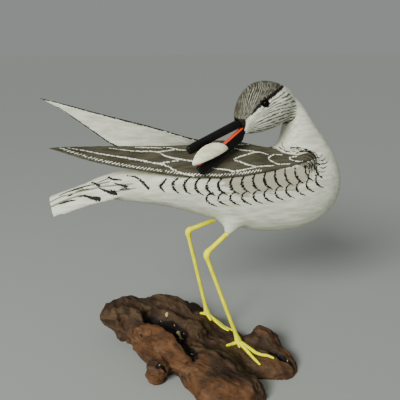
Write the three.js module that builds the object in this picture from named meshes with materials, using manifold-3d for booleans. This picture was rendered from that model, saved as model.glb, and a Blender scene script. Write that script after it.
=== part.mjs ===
// A preening shorebird decoy, carved in wood and painted, on rod legs that stand on a burl of driftwood.
// Millimetres, +Z up. The bird faces +X and its right side faces -Y. The origin lies on the flat underside
// of the driftwood, below the bird's middle plane.

import * as THREE from "three";
import { mergeVertices } from "three/addons/utils/BufferGeometryUtils.js";
import Module from "manifold-3d";

// Driving dimensions.
const birdLength = 212; // tail end to breast
const bodyWidth = 50; // breadth of the trunk at its widest
const headWidth = 30;
const perchHeight = 94; // belly above the underside of the driftwood
const baseLength = 143; // driftwood, end to end

const eyeDiameter = 5;
const eyeSunk = 1.1; // depth of the bead's middle below the skin of the head
const billSocketDepth = 5;
const upperBillWidth = 5.6;
const upperBillHeight = 6;
const lowerBillWidth = 5.2;
const lowerBillHeight = 4.4;
const featherThickness = 2;
const featherDome = 2.2;

const wingThickness = 3;
const wingClearance = 8; // how far outside a wing the trunk is pared away

const tailThickness = 8; // at the root, along the middle
const tailEndThickness = 4; // at the free end, along the middle
const tailEdgeThickness = 2.2;
const tailFlutes = 6;
const fluteDepth = 0.9;

const legSpread = 14; // from the middle plane to each hip
const tibiaDiameter = 2.9;
const tarsusDiameter = 2.5;
const ankleDiameter = 5;
const knuckleDiameter = 4.6;
const toeDiameter = 2.5;
const toeTipDiameter = 1.4;
const legSocketDepth = 7;

const fitGap = 0.3; // between each piece and what it is let into

// The bird and the driftwood are free forms: their points are written at real size and keep these shares.
const bird = birdLength / 212;
const girth = bodyWidth / 50;
const burl = baseLength / 143;

const wasm = await Module();
wasm.setup();

const vec = (x, y, z) => new THREE.Vector3(x, y, z);
const birdPoint = (x, y, z) => vec(x * bird, y * girth, z * bird);

// Solids, and what joins and cuts them.
function solidOf(geometry) {
  const bare = geometry.clone();
  bare.deleteAttribute("normal");
  bare.deleteAttribute("uv");
  const merged = mergeVertices(bare, 1e-4);
  return new wasm.Manifold(
    new wasm.Mesh({
      numProp: 3,
      vertProperties: new Float32Array(merged.attributes.position.array),
      triVerts: new Uint32Array(merged.index.array),
    }),
  );
}

function geometryOf(solid) {
  const { vertProperties, triVerts } = solid.getMesh();
  const geometry = new THREE.BufferGeometry();
  geometry.setAttribute("position", new THREE.BufferAttribute(vertProperties, 3));
  geometry.setIndex(new THREE.BufferAttribute(triVerts, 1));
  geometry.computeVertexNormals();
  return geometry;
}

const joined = (...solids) => solids.reduce((all, one) => all.add(one));

// The solid whose skin runs through rings of points, with both ends filled.
function loft(rings) {
  const around = rings[0].length;
  const points = rings.flat();
  const faces = [];
  for (let first = 0; first < points.length - around; first += around)
    for (let i = 0; i < around; i++) {
      const a = first + i;
      const b = first + ((i + 1) % around);
      faces.push(a, b, b + around, a, b + around, a + around);
    }
  const fill = (first, back) => {
    const middle = points.length;
    const centre = vec(0, 0, 0);
    for (let i = 0; i < around; i++) centre.add(points[first + i]);
    points.push(centre.divideScalar(around));
    for (let i = 0; i < around; i++) {
      const pair = [first + i, first + ((i + 1) % around)];
      faces.push(middle, ...(back ? pair.reverse() : pair));
    }
  };
  const last = points.length - around;
  fill(0, true);
  fill(last, false);
  let volume = 0;
  for (let i = 0; i < faces.length; i += 3)
    volume += points[faces[i]].dot(points[faces[i + 1]].clone().cross(points[faces[i + 2]]));
  if (volume < 0) faces.reverse();
  return solidOf(new THREE.BufferGeometry().setFromPoints(points).setIndex(faces));
}

// Pairs of shares from -1 to 1 round an oval, which grows squarer with its fullness.
function oval(count, fullness = 1) {
  const share = (s) => Math.sign(s) * Math.abs(s) ** (1 / fullness);
  return Array.from({ length: count }, (_, i) => {
    const turn = (2 * Math.PI * i) / count;
    return [share(Math.cos(turn)), share(Math.sin(turn))];
  });
}

// A smooth reading between rows, each of which starts with its place along the piece.
function profile(rows) {
  const places = rows.map((row) => row[0]);
  const curve = new THREE.CubicInterpolant(places, rows.flatMap((row) => row.slice(1)), rows[0].length - 1);
  return (at) => Array.from(curve.evaluate(at));
}

const steps = (count) => Array.from({ length: count + 1 }, (_, i) => i / count);

// Steps that lie closer together towards both ends, where a form closes.
const easedSteps = (count) => steps(count).map((share) => 0.5 - 0.5 * Math.cos(Math.PI * share));

// A round rod along a path, with a ring at each stop and a radius for each.
function rod(path, stops, radiusAt, sides, upright) {
  return loft(
    stops.map((stop) => {
      const tangent = path.getTangentAt(stop);
      const across = tangent.clone().cross(upright).normalize();
      const over = across.clone().cross(tangent);
      const radius = radiusAt(stop);
      return oval(sides).map(([c, s]) =>
        path.getPointAt(stop).addScaledVector(across, c * radius).addScaledVector(over, s * radius),
      );
    }),
  );
}

// The trunk, breast and neck are one sweep from the root of the tail to the nape. Each row holds the back's
// x and z, the belly's x and z, the half breadth, and the lean towards the bird's right.
const trunkRows = [
  [-70, 44, -69, 39, 3.5, 0],
  [-62, 47.5, -60, 36, 8.5, 0],
  [-50, 51, -47, 33, 12, 0],
  [-30, 55, -32, 30, 15.5, 0],
  [-10, 58.5, -12, 25.5, 18.5, 0],
  [10, 62.5, 11, 17, 21.5, 0],
  [28, 66, 30, 9, 23.5, 0],
  [44, 65, 50, 2, 24.6, 0],
  [56, 63.6, 70, -0.2, 25, 0],
  [63, 62.8, 88, 0.5, 25, 0],
  [67.2, 63, 105, 7.5, 24, 0],
  [69.6, 64.6, 116, 18.5, 22, 0],
  [70.8, 67.2, 120, 32, 19.5, 0.3],
  [71.3, 70.6, 117, 47, 17.5, 0.8],
  [71.8, 75, 107.5, 63.5, 15.5, 1.8],
  [72.2, 80.5, 95, 78.5, 13.6, 3.2],
  [72, 88.5, 84, 92.5, 11, 4.8],
  [70, 96, 75.5, 101, 7, 6],
  [68.5, 100, 70, 103, 2, 6.5],
];

const trunkFullness = 1.12;

function trunk() {
  const back = new THREE.CatmullRomCurve3(trunkRows.map(([x, z, , , , lean]) => birdPoint(x, -lean, z)));
  const belly = new THREE.CatmullRomCurve3(trunkRows.map(([, , x, z]) => birdPoint(x, 0, z)));
  const halves = new THREE.CatmullRomCurve3(trunkRows.map(([, , , , half]) => birdPoint(0, half, 0)));
  const skin = oval(18, trunkFullness);
  return loft(
    steps(28).map((share) => {
      const inner = back.getPoint(share);
      const outer = belly.getPoint(share).setY(inner.y);
      const half = halves.getPoint(share).y;
      return skin.map(([down, out]) =>
        inner
          .clone()
          .lerp(outer, (1 + down) / 2)
          .add(vec(0, out * half, 0)),
      );
    }),
  );
}

// The tail is an arched shingle with feathers fluted along its top and a rounded end.
// Each row holds x along the middle, the ridge's height, the edges' height and the half breadth.
const tailRows = [
  [-34, 54, 41.5, 11],
  [-46, 51.6, 39.2, 12.3],
  [-58, 48.3, 37, 12.9],
  [-71, 44.4, 34.2, 13],
  [-84, 40.4, 31, 12.6],
  [-91.5, 38, 29.4, 12],
];
const tailEndRound = 0.022; // share of its length by which the corners of its end lie ahead of the middle
const tailUnderShare = 0.97; // breadth of its underside
const fluteRun = 0.25; // share of its length in which the flutes deepen

function tail() {
  const read = profile(tailRows.map(([x, ...rest]) => [-x, ...rest]));
  const [front, end] = [-tailRows[0][0], -tailRows.at(-1)[0]];
  const across = steps(4 * tailFlutes).map((share) => 2 * share - 1);
  const under = across.filter((_, i) => i % 4 === 0).reverse();
  return loft(
    steps(7).map((share) => {
      const along = front + (end - front) * share;
      const [ridge, edge, half] = read(along);
      const swept = (side) => -along * (1 - tailEndRound * side * side * share * share);
      const arch = (side) => edge + (ridge - edge) * (1 - side * side);
      const ridgeDepth = THREE.MathUtils.lerp(tailThickness, tailEndThickness, share);
      const top = across.map((side) => {
        const feather = Math.abs(Math.sin((Math.PI * tailFlutes * (side + 1)) / 2));
        const groove = fluteDepth * Math.min(1, share / fluteRun) * (1 - feather);
        return birdPoint(swept(side), side * half, arch(side) - (Math.abs(side) < 1 ? groove : 0));
      });
      const bottom = under.map((side) => {
        const depth = THREE.MathUtils.lerp(ridgeDepth, tailEdgeThickness, side * side);
        return birdPoint(swept(side), side * half * tailUnderShare, arch(side) - depth);
      });
      return [...top, ...bottom];
    }),
  );
}

// The head is turned back over the right wing, so that its left side faces outwards.
const headFront = birdPoint(35, -13, 81);
const headTilt = THREE.MathUtils.degToRad(30); // the bill's slope
const headSwing = THREE.MathUtils.degToRad(14); // from straight back, towards the right
const headBack = vec(1, 0, 0).applyEuler(new THREE.Euler(0, -headTilt, headSwing, "ZYX"));
const headSide = vec(0, -1, 0).applyEuler(new THREE.Euler(0, 0, headSwing));
const headCrown = headBack.clone().cross(headSide).negate();
const headBreadth = headWidth / 30;
const headFullness = 1.06;

// Each row holds the place behind the bill, the crown above and the throat below it, and the half breadth.
const headRows = [
  [0, 6.9, 7, 5.2],
  [1.5, 7.9, 7.6, 6.8],
  [5, 11.5, 9, 9.6],
  [10, 15.4, 11.6, 12.2],
  [16, 18, 14, 14],
  [22, 19, 15.8, 14.8],
  [29, 17.6, 16.8, 15],
  [35, 13.8, 16.2, 14],
  [40, 8.6, 13.5, 11.4],
  [44, 3.4, 9, 7.4],
  [46.5, -1, 4.2, 2.4],
];

const headAt = profile(headRows);
const headPoint = (back, side, up) =>
  headFront
    .clone()
    .addScaledVector(headBack, back * bird)
    .addScaledVector(headSide, side * headBreadth)
    .addScaledVector(headCrown, up * bird);

function headSkin(back, up) {
  const [above, below, half] = headAt(back);
  const middle = (above - below) / 2;
  const share = Math.abs((up - middle) / ((above + below) / 2));
  return half * (1 - share ** (2 * headFullness)) ** (1 / (2 * headFullness));
}

function head() {
  const [front, end] = [headRows[0][0], headRows.at(-1)[0]];
  return loft(
    easedSteps(13).map((share) => {
      const back = THREE.MathUtils.lerp(front, end, share);
      const [above, below, half] = headAt(back);
      return oval(18, headFullness).map(([up, out]) =>
        headPoint(back, out * half, (above - below) / 2 + (up * (above + below)) / 2),
      );
    }),
  );
}

// The place of the eyes on the head: behind the front of it, and above its middle line.
const eyePlace = [18.3, 8];

function eye(side, extra = 0) {
  const radius = eyeDiameter / 2 + extra;
  const [back, up] = eyePlace;
  const skin = headSkin(back, up) * headBreadth;
  const centre = headPoint(back, 0, up).addScaledVector(headSide, side * (skin - eyeSunk));
  const bead = new THREE.IcosahedronGeometry(radius, 1);
  return solidOf(bead.translate(centre.x, centre.y, centre.z));
}

// Both halves of the bill are bars let into the front of the head. They gape to hold the feather.
const bills = {
  upper: {
    root: birdPoint(37, -13.4, 84.4),
    tip: birdPoint(-3.4, -23, 69.2),
    width: upperBillWidth,
    height: upperBillHeight,
  },
  lower: {
    root: birdPoint(38.6, -13.6, 79.8),
    tip: birdPoint(3.8, -25, 57),
    width: lowerBillWidth,
    height: lowerBillHeight,
  },
};
const billFullness = 1.25;
// Each row holds the share of the length from the root, then the shares of the height and the width.
const billRows = [
  [0, 1, 1.04],
  [0.3, 0.94, 1],
  [0.6, 0.88, 0.9],
  [0.88, 0.86, 0.82],
  [0.97, 0.74, 0.7],
  [1, 0.5, 0.48],
];

function bill({ root, tip, width, height }, extra = 0) {
  const along = tip.clone().sub(root);
  const length = along.length();
  along.normalize();
  const side = along.clone().cross(vec(0, 0, 1)).normalize();
  const up = side.clone().cross(along);
  const [, rootTall, rootWide] = billRows[0];
  const sunk = [-(billSocketDepth + extra) / length, rootTall, rootWide];
  return loft(
    [sunk, ...billRows].map(([share, tall, wide]) => {
      const stretch = share === 1 ? extra : 0;
      const centre = root.clone().addScaledVector(along, share * length + stretch);
      return oval(12, billFullness).map(([c, s]) =>
        centre
          .clone()
          .addScaledVector(up, c * ((tall * height) / 2 + extra))
          .addScaledVector(side, s * ((wide * width) / 2 + extra)),
      );
    }),
  );
}

// A small feather, half moon in outline and domed outwards, is gripped between the two halves of the bill.
const featherRoot = birdPoint(24.2, -24, 69);
const featherTip = birdPoint(-1.4, -28.4, 60);
const featherRise = 0.34; // its swell above the line from root to tip, and below it, as shares of its length
const featherSag = 0.044;
const featherEndShare = 0.05; // its blunt ends, as a share of the swell

function feather(extra = 0) {
  const along = featherTip.clone().sub(featherRoot);
  const length = along.length();
  along.normalize();
  const out = along.clone().cross(vec(0, 0, 1)).normalize();
  if (out.y > 0) out.negate();
  const up = along.clone().cross(out);
  if (up.z < 0) up.negate();
  return loft(
    easedSteps(10).map((share) => {
      const swell = Math.max(featherEndShare, Math.sqrt(Math.sin(Math.PI * share)));
      const stretch = extra * (2 * share - 1);
      const centre = featherRoot.clone().addScaledVector(along, share * length + stretch);
      return oval(10).map(([c, s]) => {
        const rise = c > 0 ? featherRise : featherSag;
        const high = c * (swell * rise * length + extra);
        const dome = featherDome * swell * (1 - c * c);
        return centre
          .clone()
          .addScaledVector(up, high)
          .addScaledVector(out, dome + s * ((featherThickness / 2) * swell + extra));
      });
    }),
  );
}

// Each wing is a thin curved board. A row holds x, the upper edge's distance from the middle plane and its
// height, the same for the lower edge, and how far the board bulges between them.
const wings = {
  right: {
    side: -1,
    rows: [
      [92, 18.2, 60.8, 18.9, 57.8, 0.1],
      [84, 16.8, 62.4, 19.5, 55.6, 0.3],
      [74, 12.8, 63.4, 20.5, 54.2, 0.6],
      [58, 9, 65, 22.4, 52.2, 1.2],
      [40, 5.6, 69.6, 23.8, 50.4, 2],
      [22, 4, 71.5, 23.4, 49.4, 2.5],
      [0, 3.5, 68.8, 21.8, 51, 2.5],
      [-25, 3, 69.5, 19.5, 55.5, 2],
      [-50, 3.5, 70.8, 17.5, 61, 1.5],
      [-70, 6, 72, 15.5, 66.3, 1],
      [-82, 9.5, 73, 14, 70.5, 0.5],
      [-89, 12.3, 73.3, 12.9, 73, 0],
    ],
  },
  left: {
    side: 1,
    rows: [
      [50, 16, 62, 22, 56, 0.4],
      [40, 12, 64, 24.4, 52.5, 1.4],
      [25, 11, 66.5, 24.8, 50, 2],
      [8, 12, 70.5, 23.6, 50.5, 2.2],
      [-13, 14.5, 77.3, 21, 53, 2],
      [-30, 16, 82.3, 19.6, 58, 1.8],
      [-45, 18, 86.3, 20.6, 65.2, 1.5],
      [-67, 20.5, 92.8, 22.4, 82.4, 1],
      [-82, 22.5, 97.4, 23.2, 93, 0.4],
      [-94.5, 24, 100.8, 24.2, 100.4, 0],
    ],
  },
};

const wingEndShare = 0.25; // thickness at the front and the tip
const wingEdgeShare = 0.6; // thickness at the upper and lower edge
const wingTaperShare = 0.2; // share of the length in which each end thins out

// Extra grows the board all round, and reach carries its outer face further out.
function wing({ side, rows }, extra = 0, reach = 0) {
  const read = profile(rows.map(([x, ...rest]) => [-x, ...rest]));
  const [front, tip] = [-rows[0][0], -rows.at(-1)[0]];
  const chord = steps(5);
  return loft(
    easedSteps(16).map((share) => {
      const at = THREE.MathUtils.lerp(front, tip, share);
      const [upperOut, upperZ, lowerOut, lowerZ, bulge] = read(at);
      const upper = birdPoint(0, side * upperOut, upperZ);
      const lower = birdPoint(0, side * lowerOut, lowerZ);
      const down = lower.clone().sub(upper).normalize();
      const out = vec(0, -side * down.z, side * down.y);
      const x = -at * bird - extra * (2 * share - 1);
      const toEnd = Math.min(share, 1 - share) / wingTaperShare;
      const thickest = wingThickness * THREE.MathUtils.clamp(toEnd, wingEndShare, 1);
      const thickness = (v) => thickest * THREE.MathUtils.lerp(wingEdgeShare, 1, Math.sin(Math.PI * v));
      const face = (v, off) =>
        upper
          .clone()
          .lerp(lower, v)
          .addScaledVector(down, extra * (2 * v - 1))
          .addScaledVector(out, bulge * Math.sin(Math.PI * v) + off)
          .setX(x);
      const outer = chord.map((v) => face(v, extra).add(vec(0, side * reach, 0)));
      const inner = chord.map((v) => face(v, -extra - thickness(v)));
      return [...outer, ...inner.reverse()];
    }),
  );
}

// The driftwood is a burl of knobs that run into each other, sawn flat below. Each row holds the middle,
// three radii and a turn.
const knobRows = [
  [-43, 30, 22, 19.5, 15.5, 13.5, -4],
  [-14, 29, 17, 28, 15, 15, -5],
  [12, 12, 6, 22, 20, 14.5, -25],
  [33, -10, 1, 21, 18, 11, -35],
  [-29, 10, 13, 13, 12.5, 13, -35],
  [-19, -14, 11, 28, 11, 16.5, -52],
  [-46, 18, 9, 9, 7, 5, 0],
  [-28.5, -31, 7, 8, 8, 10, 0],
  [10, -40, 4, 22, 23, 17, 20],
  [17, -62, 4, 24, 15, 14, -10],
  [56.5, -18, 8, 13.5, 11.5, 13.4, 0],
  [60, -39, 1, 15, 16, 12, 0],
  [38, -34, 0, 20, 15, 10, 0],
  [0, 38, 6, 27, 12.5, 12.5, 10],
  [-3, 4, 4, 32, 26, 20, -12],
  [22, -16, 0, 26, 22, 14, -30],
];
const hollowRows = [
  [-20, 4, 31, 10, 4.5, 7, -35],
  [-9, -14, 29, 9, 4, 5, -75],
  [58, -39, 15, 7, 4, 3, 20],
];

const knobBlend = 2.6; // how softly knobs run into each other
const gnarlDepth = 1.3;
const gnarlSize = 5.2; // length of a wave as a share of a full turn's
const burlFacet = 5.2; // edge of a facet
const burlTolerance = 0.35; // how far its skin may move where facets join

// How deep a point lies in a knob, and less than nothing outside it.
function depthIn([x, y, z, rx, ry, rz, turn], point) {
  const radii = vec(rx, ry, rz);
  const heading = THREE.MathUtils.degToRad(-turn);
  const share = point.clone().sub(vec(x, y, z)).applyAxisAngle(vec(0, 0, 1), heading).divide(radii);
  const slope = share.clone().divide(radii).length();
  const reach = slope > 0 ? share.length() / slope : rx;
  return reach * (1 - share.length());
}

const depthInAny = (rows, point) =>
  knobBlend * Math.log(rows.reduce((sum, row) => sum + Math.exp(depthIn(row, point) / knobBlend), 0));

// Waves that seldom repeat, from -1 to 1.
function gnarl(point) {
  const { x, y, z } = point.clone().divideScalar(gnarlSize);
  const wave = Math.sin(x + 0.6 * z + 1.3) * Math.sin(1.1 * y - 0.4 * x);
  const ripple = Math.sin(1.9 * y + 0.7 * x + 2) * Math.sin(1.7 * z + 1.6 * x);
  return (2 * wave + ripple) / 3;
}

function driftwood() {
  const depthAt = ([x, y, z]) => {
    const point = vec(x, y, z).divideScalar(burl);
    const knobs = depthInAny(knobRows, point) + gnarlDepth * gnarl(point);
    return burl * Math.min(knobs, -depthInAny(hollowRows, point));
  };
  const bounds = { min: [-baseLength, -baseLength, -baseLength / 3], max: [baseLength, baseLength, baseLength / 2] };
  const below = new THREE.BoxGeometry(3 * baseLength, 3 * baseLength, baseLength);
  const floor = solidOf(below.translate(0, 0, -baseLength / 2));
  const whole = wasm.Manifold.levelSet(depthAt, bounds, burlFacet * burl);
  return whole.subtract(floor).simplify(burlTolerance * burl);
}

const driftwoodSolid = driftwood();
const driftwoodMesh = new THREE.Mesh(geometryOf(driftwoodSolid), new THREE.MeshBasicMaterial());

// The height of the driftwood's top below a point.
function topOf(x, y) {
  const ray = new THREE.Raycaster(vec(x, y, 2 * baseLength), vec(0, 0, -1));
  const hits = ray.intersectObject(driftwoodMesh);
  return hits.length ? hits[0].point.z : 0;
}

// Each leg has its ankle, from the hip, its foot on the driftwood, and its toes, each a turn from straight
// ahead in degrees and a length.
const legs = {
  right: {
    side: -1,
    ankle: [-18.2, -1, -15.2],
    foot: [35.6, -21],
    toes: [[-50, 30], [-70, 25], [-100, 6], [-165, 11]],
  },
  left: {
    side: 1,
    ankle: [-24.2, 1, -8],
    foot: [20.4, 11.5],
    toes: [[-35, 22], [-46, 20], [-80, 7], [165, 6]],
  },
};
const hip = (side) => birdPoint(29.6, 0, 7.2).setY(side * legSpread);
const bell = (x) => Math.exp(-x * x);

// Shares of the diameters there: how far the bend and the swellings reach, and how high above the wood
// the middles of the foot and of a toe lie.
const ankleRound = 0.7;
const ankleSwell = 0.8;
const knuckleSwell = 0.9;
const knuckleRise = 0.35;
const toeRise = 0.3;

// A tuft of the belly comes down over the top of each leg. Each row holds the height above the hip, how far
// forward and inwards the middle lies, and the half length and half breadth.
const tuftRows = [
  [22, 6, 7, 13, 7],
  [12, 4.8, 3.4, 12.4, 8],
  [6.5, 4.2, 1.6, 10.6, 6.6],
  [2.5, 2, 0.5, 7, 4.8],
  [-0.6, -0.4, 0, 3.6, 3.4],
  [-1.8, -1, 0, 2, 2],
];

function thigh({ side }) {
  return loft(
    tuftRows.map(([up, forward, inward, halfLength, halfBreadth]) =>
      oval(14).map(([c, s]) =>
        hip(side).add(birdPoint(forward + c * halfLength, side * (s * halfBreadth - inward), up)),
      ),
    ),
  );
}

// A leg with its toes. Lowered by the height of the perch, it lies in the bird's own frame.
function leg({ side, ankle, foot, toes }, extra = 0, lowered = 0) {
  const drop = vec(0, 0, -lowered);
  const knee = hip(side).add(vec(0, 0, perchHeight));
  const bend = knee.clone().add(birdPoint(...ankle));
  const [footX, footY] = foot.map((place) => place * burl);
  const sole = vec(footX, footY, topOf(footX, footY) + knuckleDiameter * knuckleRise);
  const inside = knee.clone().lerp(bend, -legSocketDepth / knee.distanceTo(bend));
  const points = [inside, bend, sole].map((point) => point.add(drop));
  const soften = ankleDiameter * ankleRound;
  const before = points[1].clone().lerp(points[0], soften / points[1].distanceTo(points[0]));
  const after = points[1].clone().lerp(points[2], soften / points[1].distanceTo(points[2]));
  const path = new THREE.CurvePath();
  path.add(new THREE.LineCurve3(points[0], before));
  path.add(new THREE.QuadraticBezierCurve3(before, points[1], after));
  path.add(new THREE.LineCurve3(after, points[2]));
  const length = path.getLength();
  const ankleAt = (points[0].distanceTo(before) + soften) / length;
  const radiusAt = (share) => {
    const shaft = share < ankleAt ? tibiaDiameter : tarsusDiameter;
    const atAnkle = bell(((share - ankleAt) * length) / (ankleDiameter * ankleSwell));
    const atFoot = bell(((1 - share) * length) / (knuckleDiameter * knuckleSwell));
    return (shaft + (ankleDiameter - shaft) * atAnkle + (knuckleDiameter - shaft) * atFoot) / 2 + extra;
  };
  const near = (centre, offsets) => offsets.map((offset) => centre + offset / length);
  const stops = [
    0,
    ...near(ankleAt, [-7, -3.6, -1.2, 1.2, 3.6, 7]),
    ...near(1, [-8, -4.5, -2]),
    1,
  ];
  const shank = rod(path, stops, radiusAt, 8, vec(0, 1, 0));
  const digits = toes.map(([turn, reach]) => toe(sole.clone(), turn, reach, extra, lowered));
  return joined(shank, ...digits);
}

// A toe follows the top of the driftwood outwards from the foot.
function toe(sole, turn, reach, extra, lowered) {
  const heading = THREE.MathUtils.degToRad(turn);
  const diameterAt = (share) => THREE.MathUtils.lerp(toeDiameter, toeTipDiameter, share);
  const points = steps(5).map((share) => {
    const x = sole.x + Math.cos(heading) * reach * share * burl;
    const y = sole.y + Math.sin(heading) * reach * share * burl;
    const rest = topOf(x, y) + diameterAt(share) * toeRise - lowered;
    return vec(x, y, share === 0 ? sole.z : rest);
  });
  const radiusAt = (share) => diameterAt(share) / 2 + extra;
  return rod(new THREE.CatmullRomCurve3(points), steps(5), radiusAt, 6, vec(0, 0, 1));
}

// The pieces, each cut by what is let into it.
const sides = ["right", "left"];
const body = joined(trunk(), tail(), head(), ...sides.map((name) => thigh(legs[name]))).subtract(
  joined(
    ...sides.flatMap((name) => [0, wingClearance].map((reach) => wing(wings[name], fitGap, reach))),
    ...sides.map((name) => leg(legs[name], fitGap, perchHeight)),
    ...[-1, 1].map((side) => eye(side, fitGap)),
    bill(bills.upper, fitGap),
    bill(bills.lower, fitGap),
  ),
);
const upperBill = bill(bills.upper).subtract(feather(fitGap));
const lowerBill = bill(bills.lower).subtract(joined(feather(fitGap), bill(bills.upper, fitGap)));
const base = driftwoodSolid.subtract(joined(...sides.map((name) => leg(legs[name], fitGap))));

// The scene.
const paint = (color, roughness) => new THREE.MeshStandardMaterial({ color, roughness, metalness: 0 });
const whitePaint = paint(0xd8dac8, 0.6);
const taupePaint = paint(0x6b6557, 0.6);
const blackPaint = paint(0x1b1c17, 0.45);
const creamPaint = paint(0xe2e2c4, 0.5);
const yellowPaint = paint(0xd9d42c, 0.5);
const blackGlass = paint(0x0c0a08, 0.1);
const barkWood = paint(0x503c2b, 0.8);

function piece(name, solid, material) {
  const mesh = new THREE.Mesh(geometryOf(solid), material);
  mesh.name = name;
  return mesh;
}

const carving = new THREE.Group();
carving.position.z = perchHeight;
carving.add(
  piece("body", body, whitePaint),
  piece("right_wing", wing(wings.right), taupePaint),
  piece("left_wing", wing(wings.left), taupePaint),
  piece("upper_bill", upperBill, blackPaint),
  piece("lower_bill", lowerBill, blackPaint),
  piece("preened_feather", feather(), creamPaint),
  piece("left_eye", eye(1), blackGlass),
  piece("right_eye", eye(-1), blackGlass),
);

const decoy = new THREE.Group();
decoy.add(
  carving,
  piece("right_leg", leg(legs.right), yellowPaint),
  piece("left_leg", leg(legs.left), yellowPaint),
  piece("driftwood_base", base, barkWood),
);

export default decoy;
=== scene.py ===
"""Dresses a preening shorebird decoy, carved and painted, that stands on a burl of driftwood.

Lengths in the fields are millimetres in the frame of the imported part: +Z up, the bird faces +X and its
right side faces -Y. They become metres where they meet Blender.
"""

from __future__ import annotations

import logging
import math
from collections.abc import Iterable, Sequence
from dataclasses import dataclass
from enum import Enum
from typing import ClassVar

import bmesh
import bpy
import numpy as np
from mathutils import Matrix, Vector
from mathutils.bvhtree import BVHTree
from mathutils.kdtree import KDTree

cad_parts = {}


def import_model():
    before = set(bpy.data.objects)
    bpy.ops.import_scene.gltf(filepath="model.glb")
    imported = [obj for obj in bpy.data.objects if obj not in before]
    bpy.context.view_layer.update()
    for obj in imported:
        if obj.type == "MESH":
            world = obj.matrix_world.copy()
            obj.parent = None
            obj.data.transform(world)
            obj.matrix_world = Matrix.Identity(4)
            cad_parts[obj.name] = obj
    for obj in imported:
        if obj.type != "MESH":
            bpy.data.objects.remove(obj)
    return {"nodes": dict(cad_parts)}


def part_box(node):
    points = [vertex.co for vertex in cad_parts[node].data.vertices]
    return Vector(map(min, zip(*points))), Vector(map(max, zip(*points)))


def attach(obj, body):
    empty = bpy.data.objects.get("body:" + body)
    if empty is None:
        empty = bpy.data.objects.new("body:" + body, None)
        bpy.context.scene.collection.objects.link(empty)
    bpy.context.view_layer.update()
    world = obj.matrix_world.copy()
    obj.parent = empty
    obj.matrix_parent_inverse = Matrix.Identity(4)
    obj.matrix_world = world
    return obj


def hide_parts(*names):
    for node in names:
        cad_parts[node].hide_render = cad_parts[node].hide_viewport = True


log = logging.getLogger("decoy")

MM = 0.001
# How many points a curve first has between two of its places.
CURVE_STEPS = 24
# How far the grain of the driftwood is turned, seen from above.
GRAIN = math.radians(49.0)

Place = tuple[float, float]
Spot = tuple[float, float, float]
Span = tuple[float, float]
Colour = tuple[float, float, float, float]
Nodes = dict[str, bpy.types.Object]


class Side(Enum):
    """The bird's sides, each with the sign of Y on it."""

    RIGHT = -1
    LEFT = 1


class Kind(Enum):
    """What the sockets of a node group carry."""

    NUMBER = "NodeSocketFloat"
    COUNT = "NodeSocketInt"
    VECTOR = "NodeSocketVector"
    GEOMETRY = "NodeSocketGeometry"
    MATERIAL = "NodeSocketMaterial"


def srgb(red: int, green: int, blue: int) -> Colour:
    """Turn a display colour into the linear one that a socket takes.

    Args:
        red, green, blue: Parts of the colour from 0 to 255.

    Returns:
        The linear colour with full alpha.
    """
    linear = [((c / 255 + 0.055) / 1.055) ** 2.4 if c > 10 else c / 3294.6 for c in (red, green, blue)]
    return (*linear, 1.0)


def smooth_step(low: float, high: float, value: np.ndarray) -> np.ndarray:
    """Rise softly from 0 at low to 1 at high."""
    share = np.clip((value - low) / (high - low), 0.0, 1.0)
    return share * share * (3 - 2 * share)


def spline(places: Sequence[Sequence[float]], step: float = 0.25) -> np.ndarray:
    """Run a smooth curve through places.

    Args:
        places: Two or more places, in two or three dimensions.
        step: Distance between the points returned.

    Returns:
        Points at even steps along the curve.
    """
    knots = np.asarray(places, dtype=float)
    padded = np.vstack((2 * knots[0] - knots[1], knots, 2 * knots[-1] - knots[-2]))
    share = np.linspace(0, 1, CURVE_STEPS, endpoint=False)[:, None]
    parts = []
    for a, b, c, d in zip(padded, padded[1:], padded[2:], padded[3:]):
        cubic = (3 * b - 3 * c + d - a) * share**3
        parts.append(0.5 * (2 * b + (c - a) * share + (2 * a - 5 * b + 4 * c - d) * share**2 + cubic))
    dense = np.vstack((*parts, knots[-1]))
    along = np.concatenate(([0.0], np.cumsum(np.linalg.norm(np.diff(dense, axis=0), axis=1))))
    stops = np.linspace(0, along[-1], max(2, round(along[-1] / step) + 1))
    return np.column_stack([np.interp(stops, along, axis) for axis in dense.T])


def distance_to_chain(points: np.ndarray, chain: np.ndarray) -> np.ndarray:
    """Return how far each point lies from a chain of straight links."""
    nearest = np.full(len(points), np.inf)
    for start, end in zip(chain, chain[1:]):
        link = end - start
        share = np.clip((points - start) @ link / (link @ link), 0, 1)
        nearest = np.minimum(nearest, np.linalg.norm(points - start - share[:, None] * link, axis=1))
    return nearest


def distance_beside_chain(points: np.ndarray, chain: np.ndarray) -> np.ndarray:
    """Return how far each point lies to the right of a flat chain, and less than 0 to the left of it."""
    nearest, beside = np.full(len(points), np.inf), np.zeros(len(points))
    for start, end in zip(chain, chain[1:]):
        link = end - start
        share = np.clip((points - start) @ link / (link @ link), 0, 1)
        gap = points - start - share[:, None] * link
        far = np.linalg.norm(gap, axis=1)
        right = gap[:, 0] * link[1] > gap[:, 1] * link[0]
        beside = np.where(far < nearest, np.where(right, far, -far), beside)
        nearest = np.minimum(nearest, far)
    return beside


def depth_in_outline(points: np.ndarray, outline: Sequence[Place]) -> np.ndarray:
    """Return how deep each point lies inside a closed outline, and less than 0 outside it."""
    corners = np.asarray(outline, dtype=float)
    closed = np.vstack((corners, corners[:1]))
    inside = np.zeros(len(points), dtype=bool)
    for (ax, ay), (bx, by) in zip(closed, closed[1:]):
        crosses = (ay > points[:, 1]) != (by > points[:, 1])
        if ay != by:
            inside ^= crosses & (points[:, 0] < (bx - ax) * (points[:, 1] - ay) / (by - ay) + ax)
    return np.where(inside, 1, -1) * distance_to_chain(points, closed)


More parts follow.
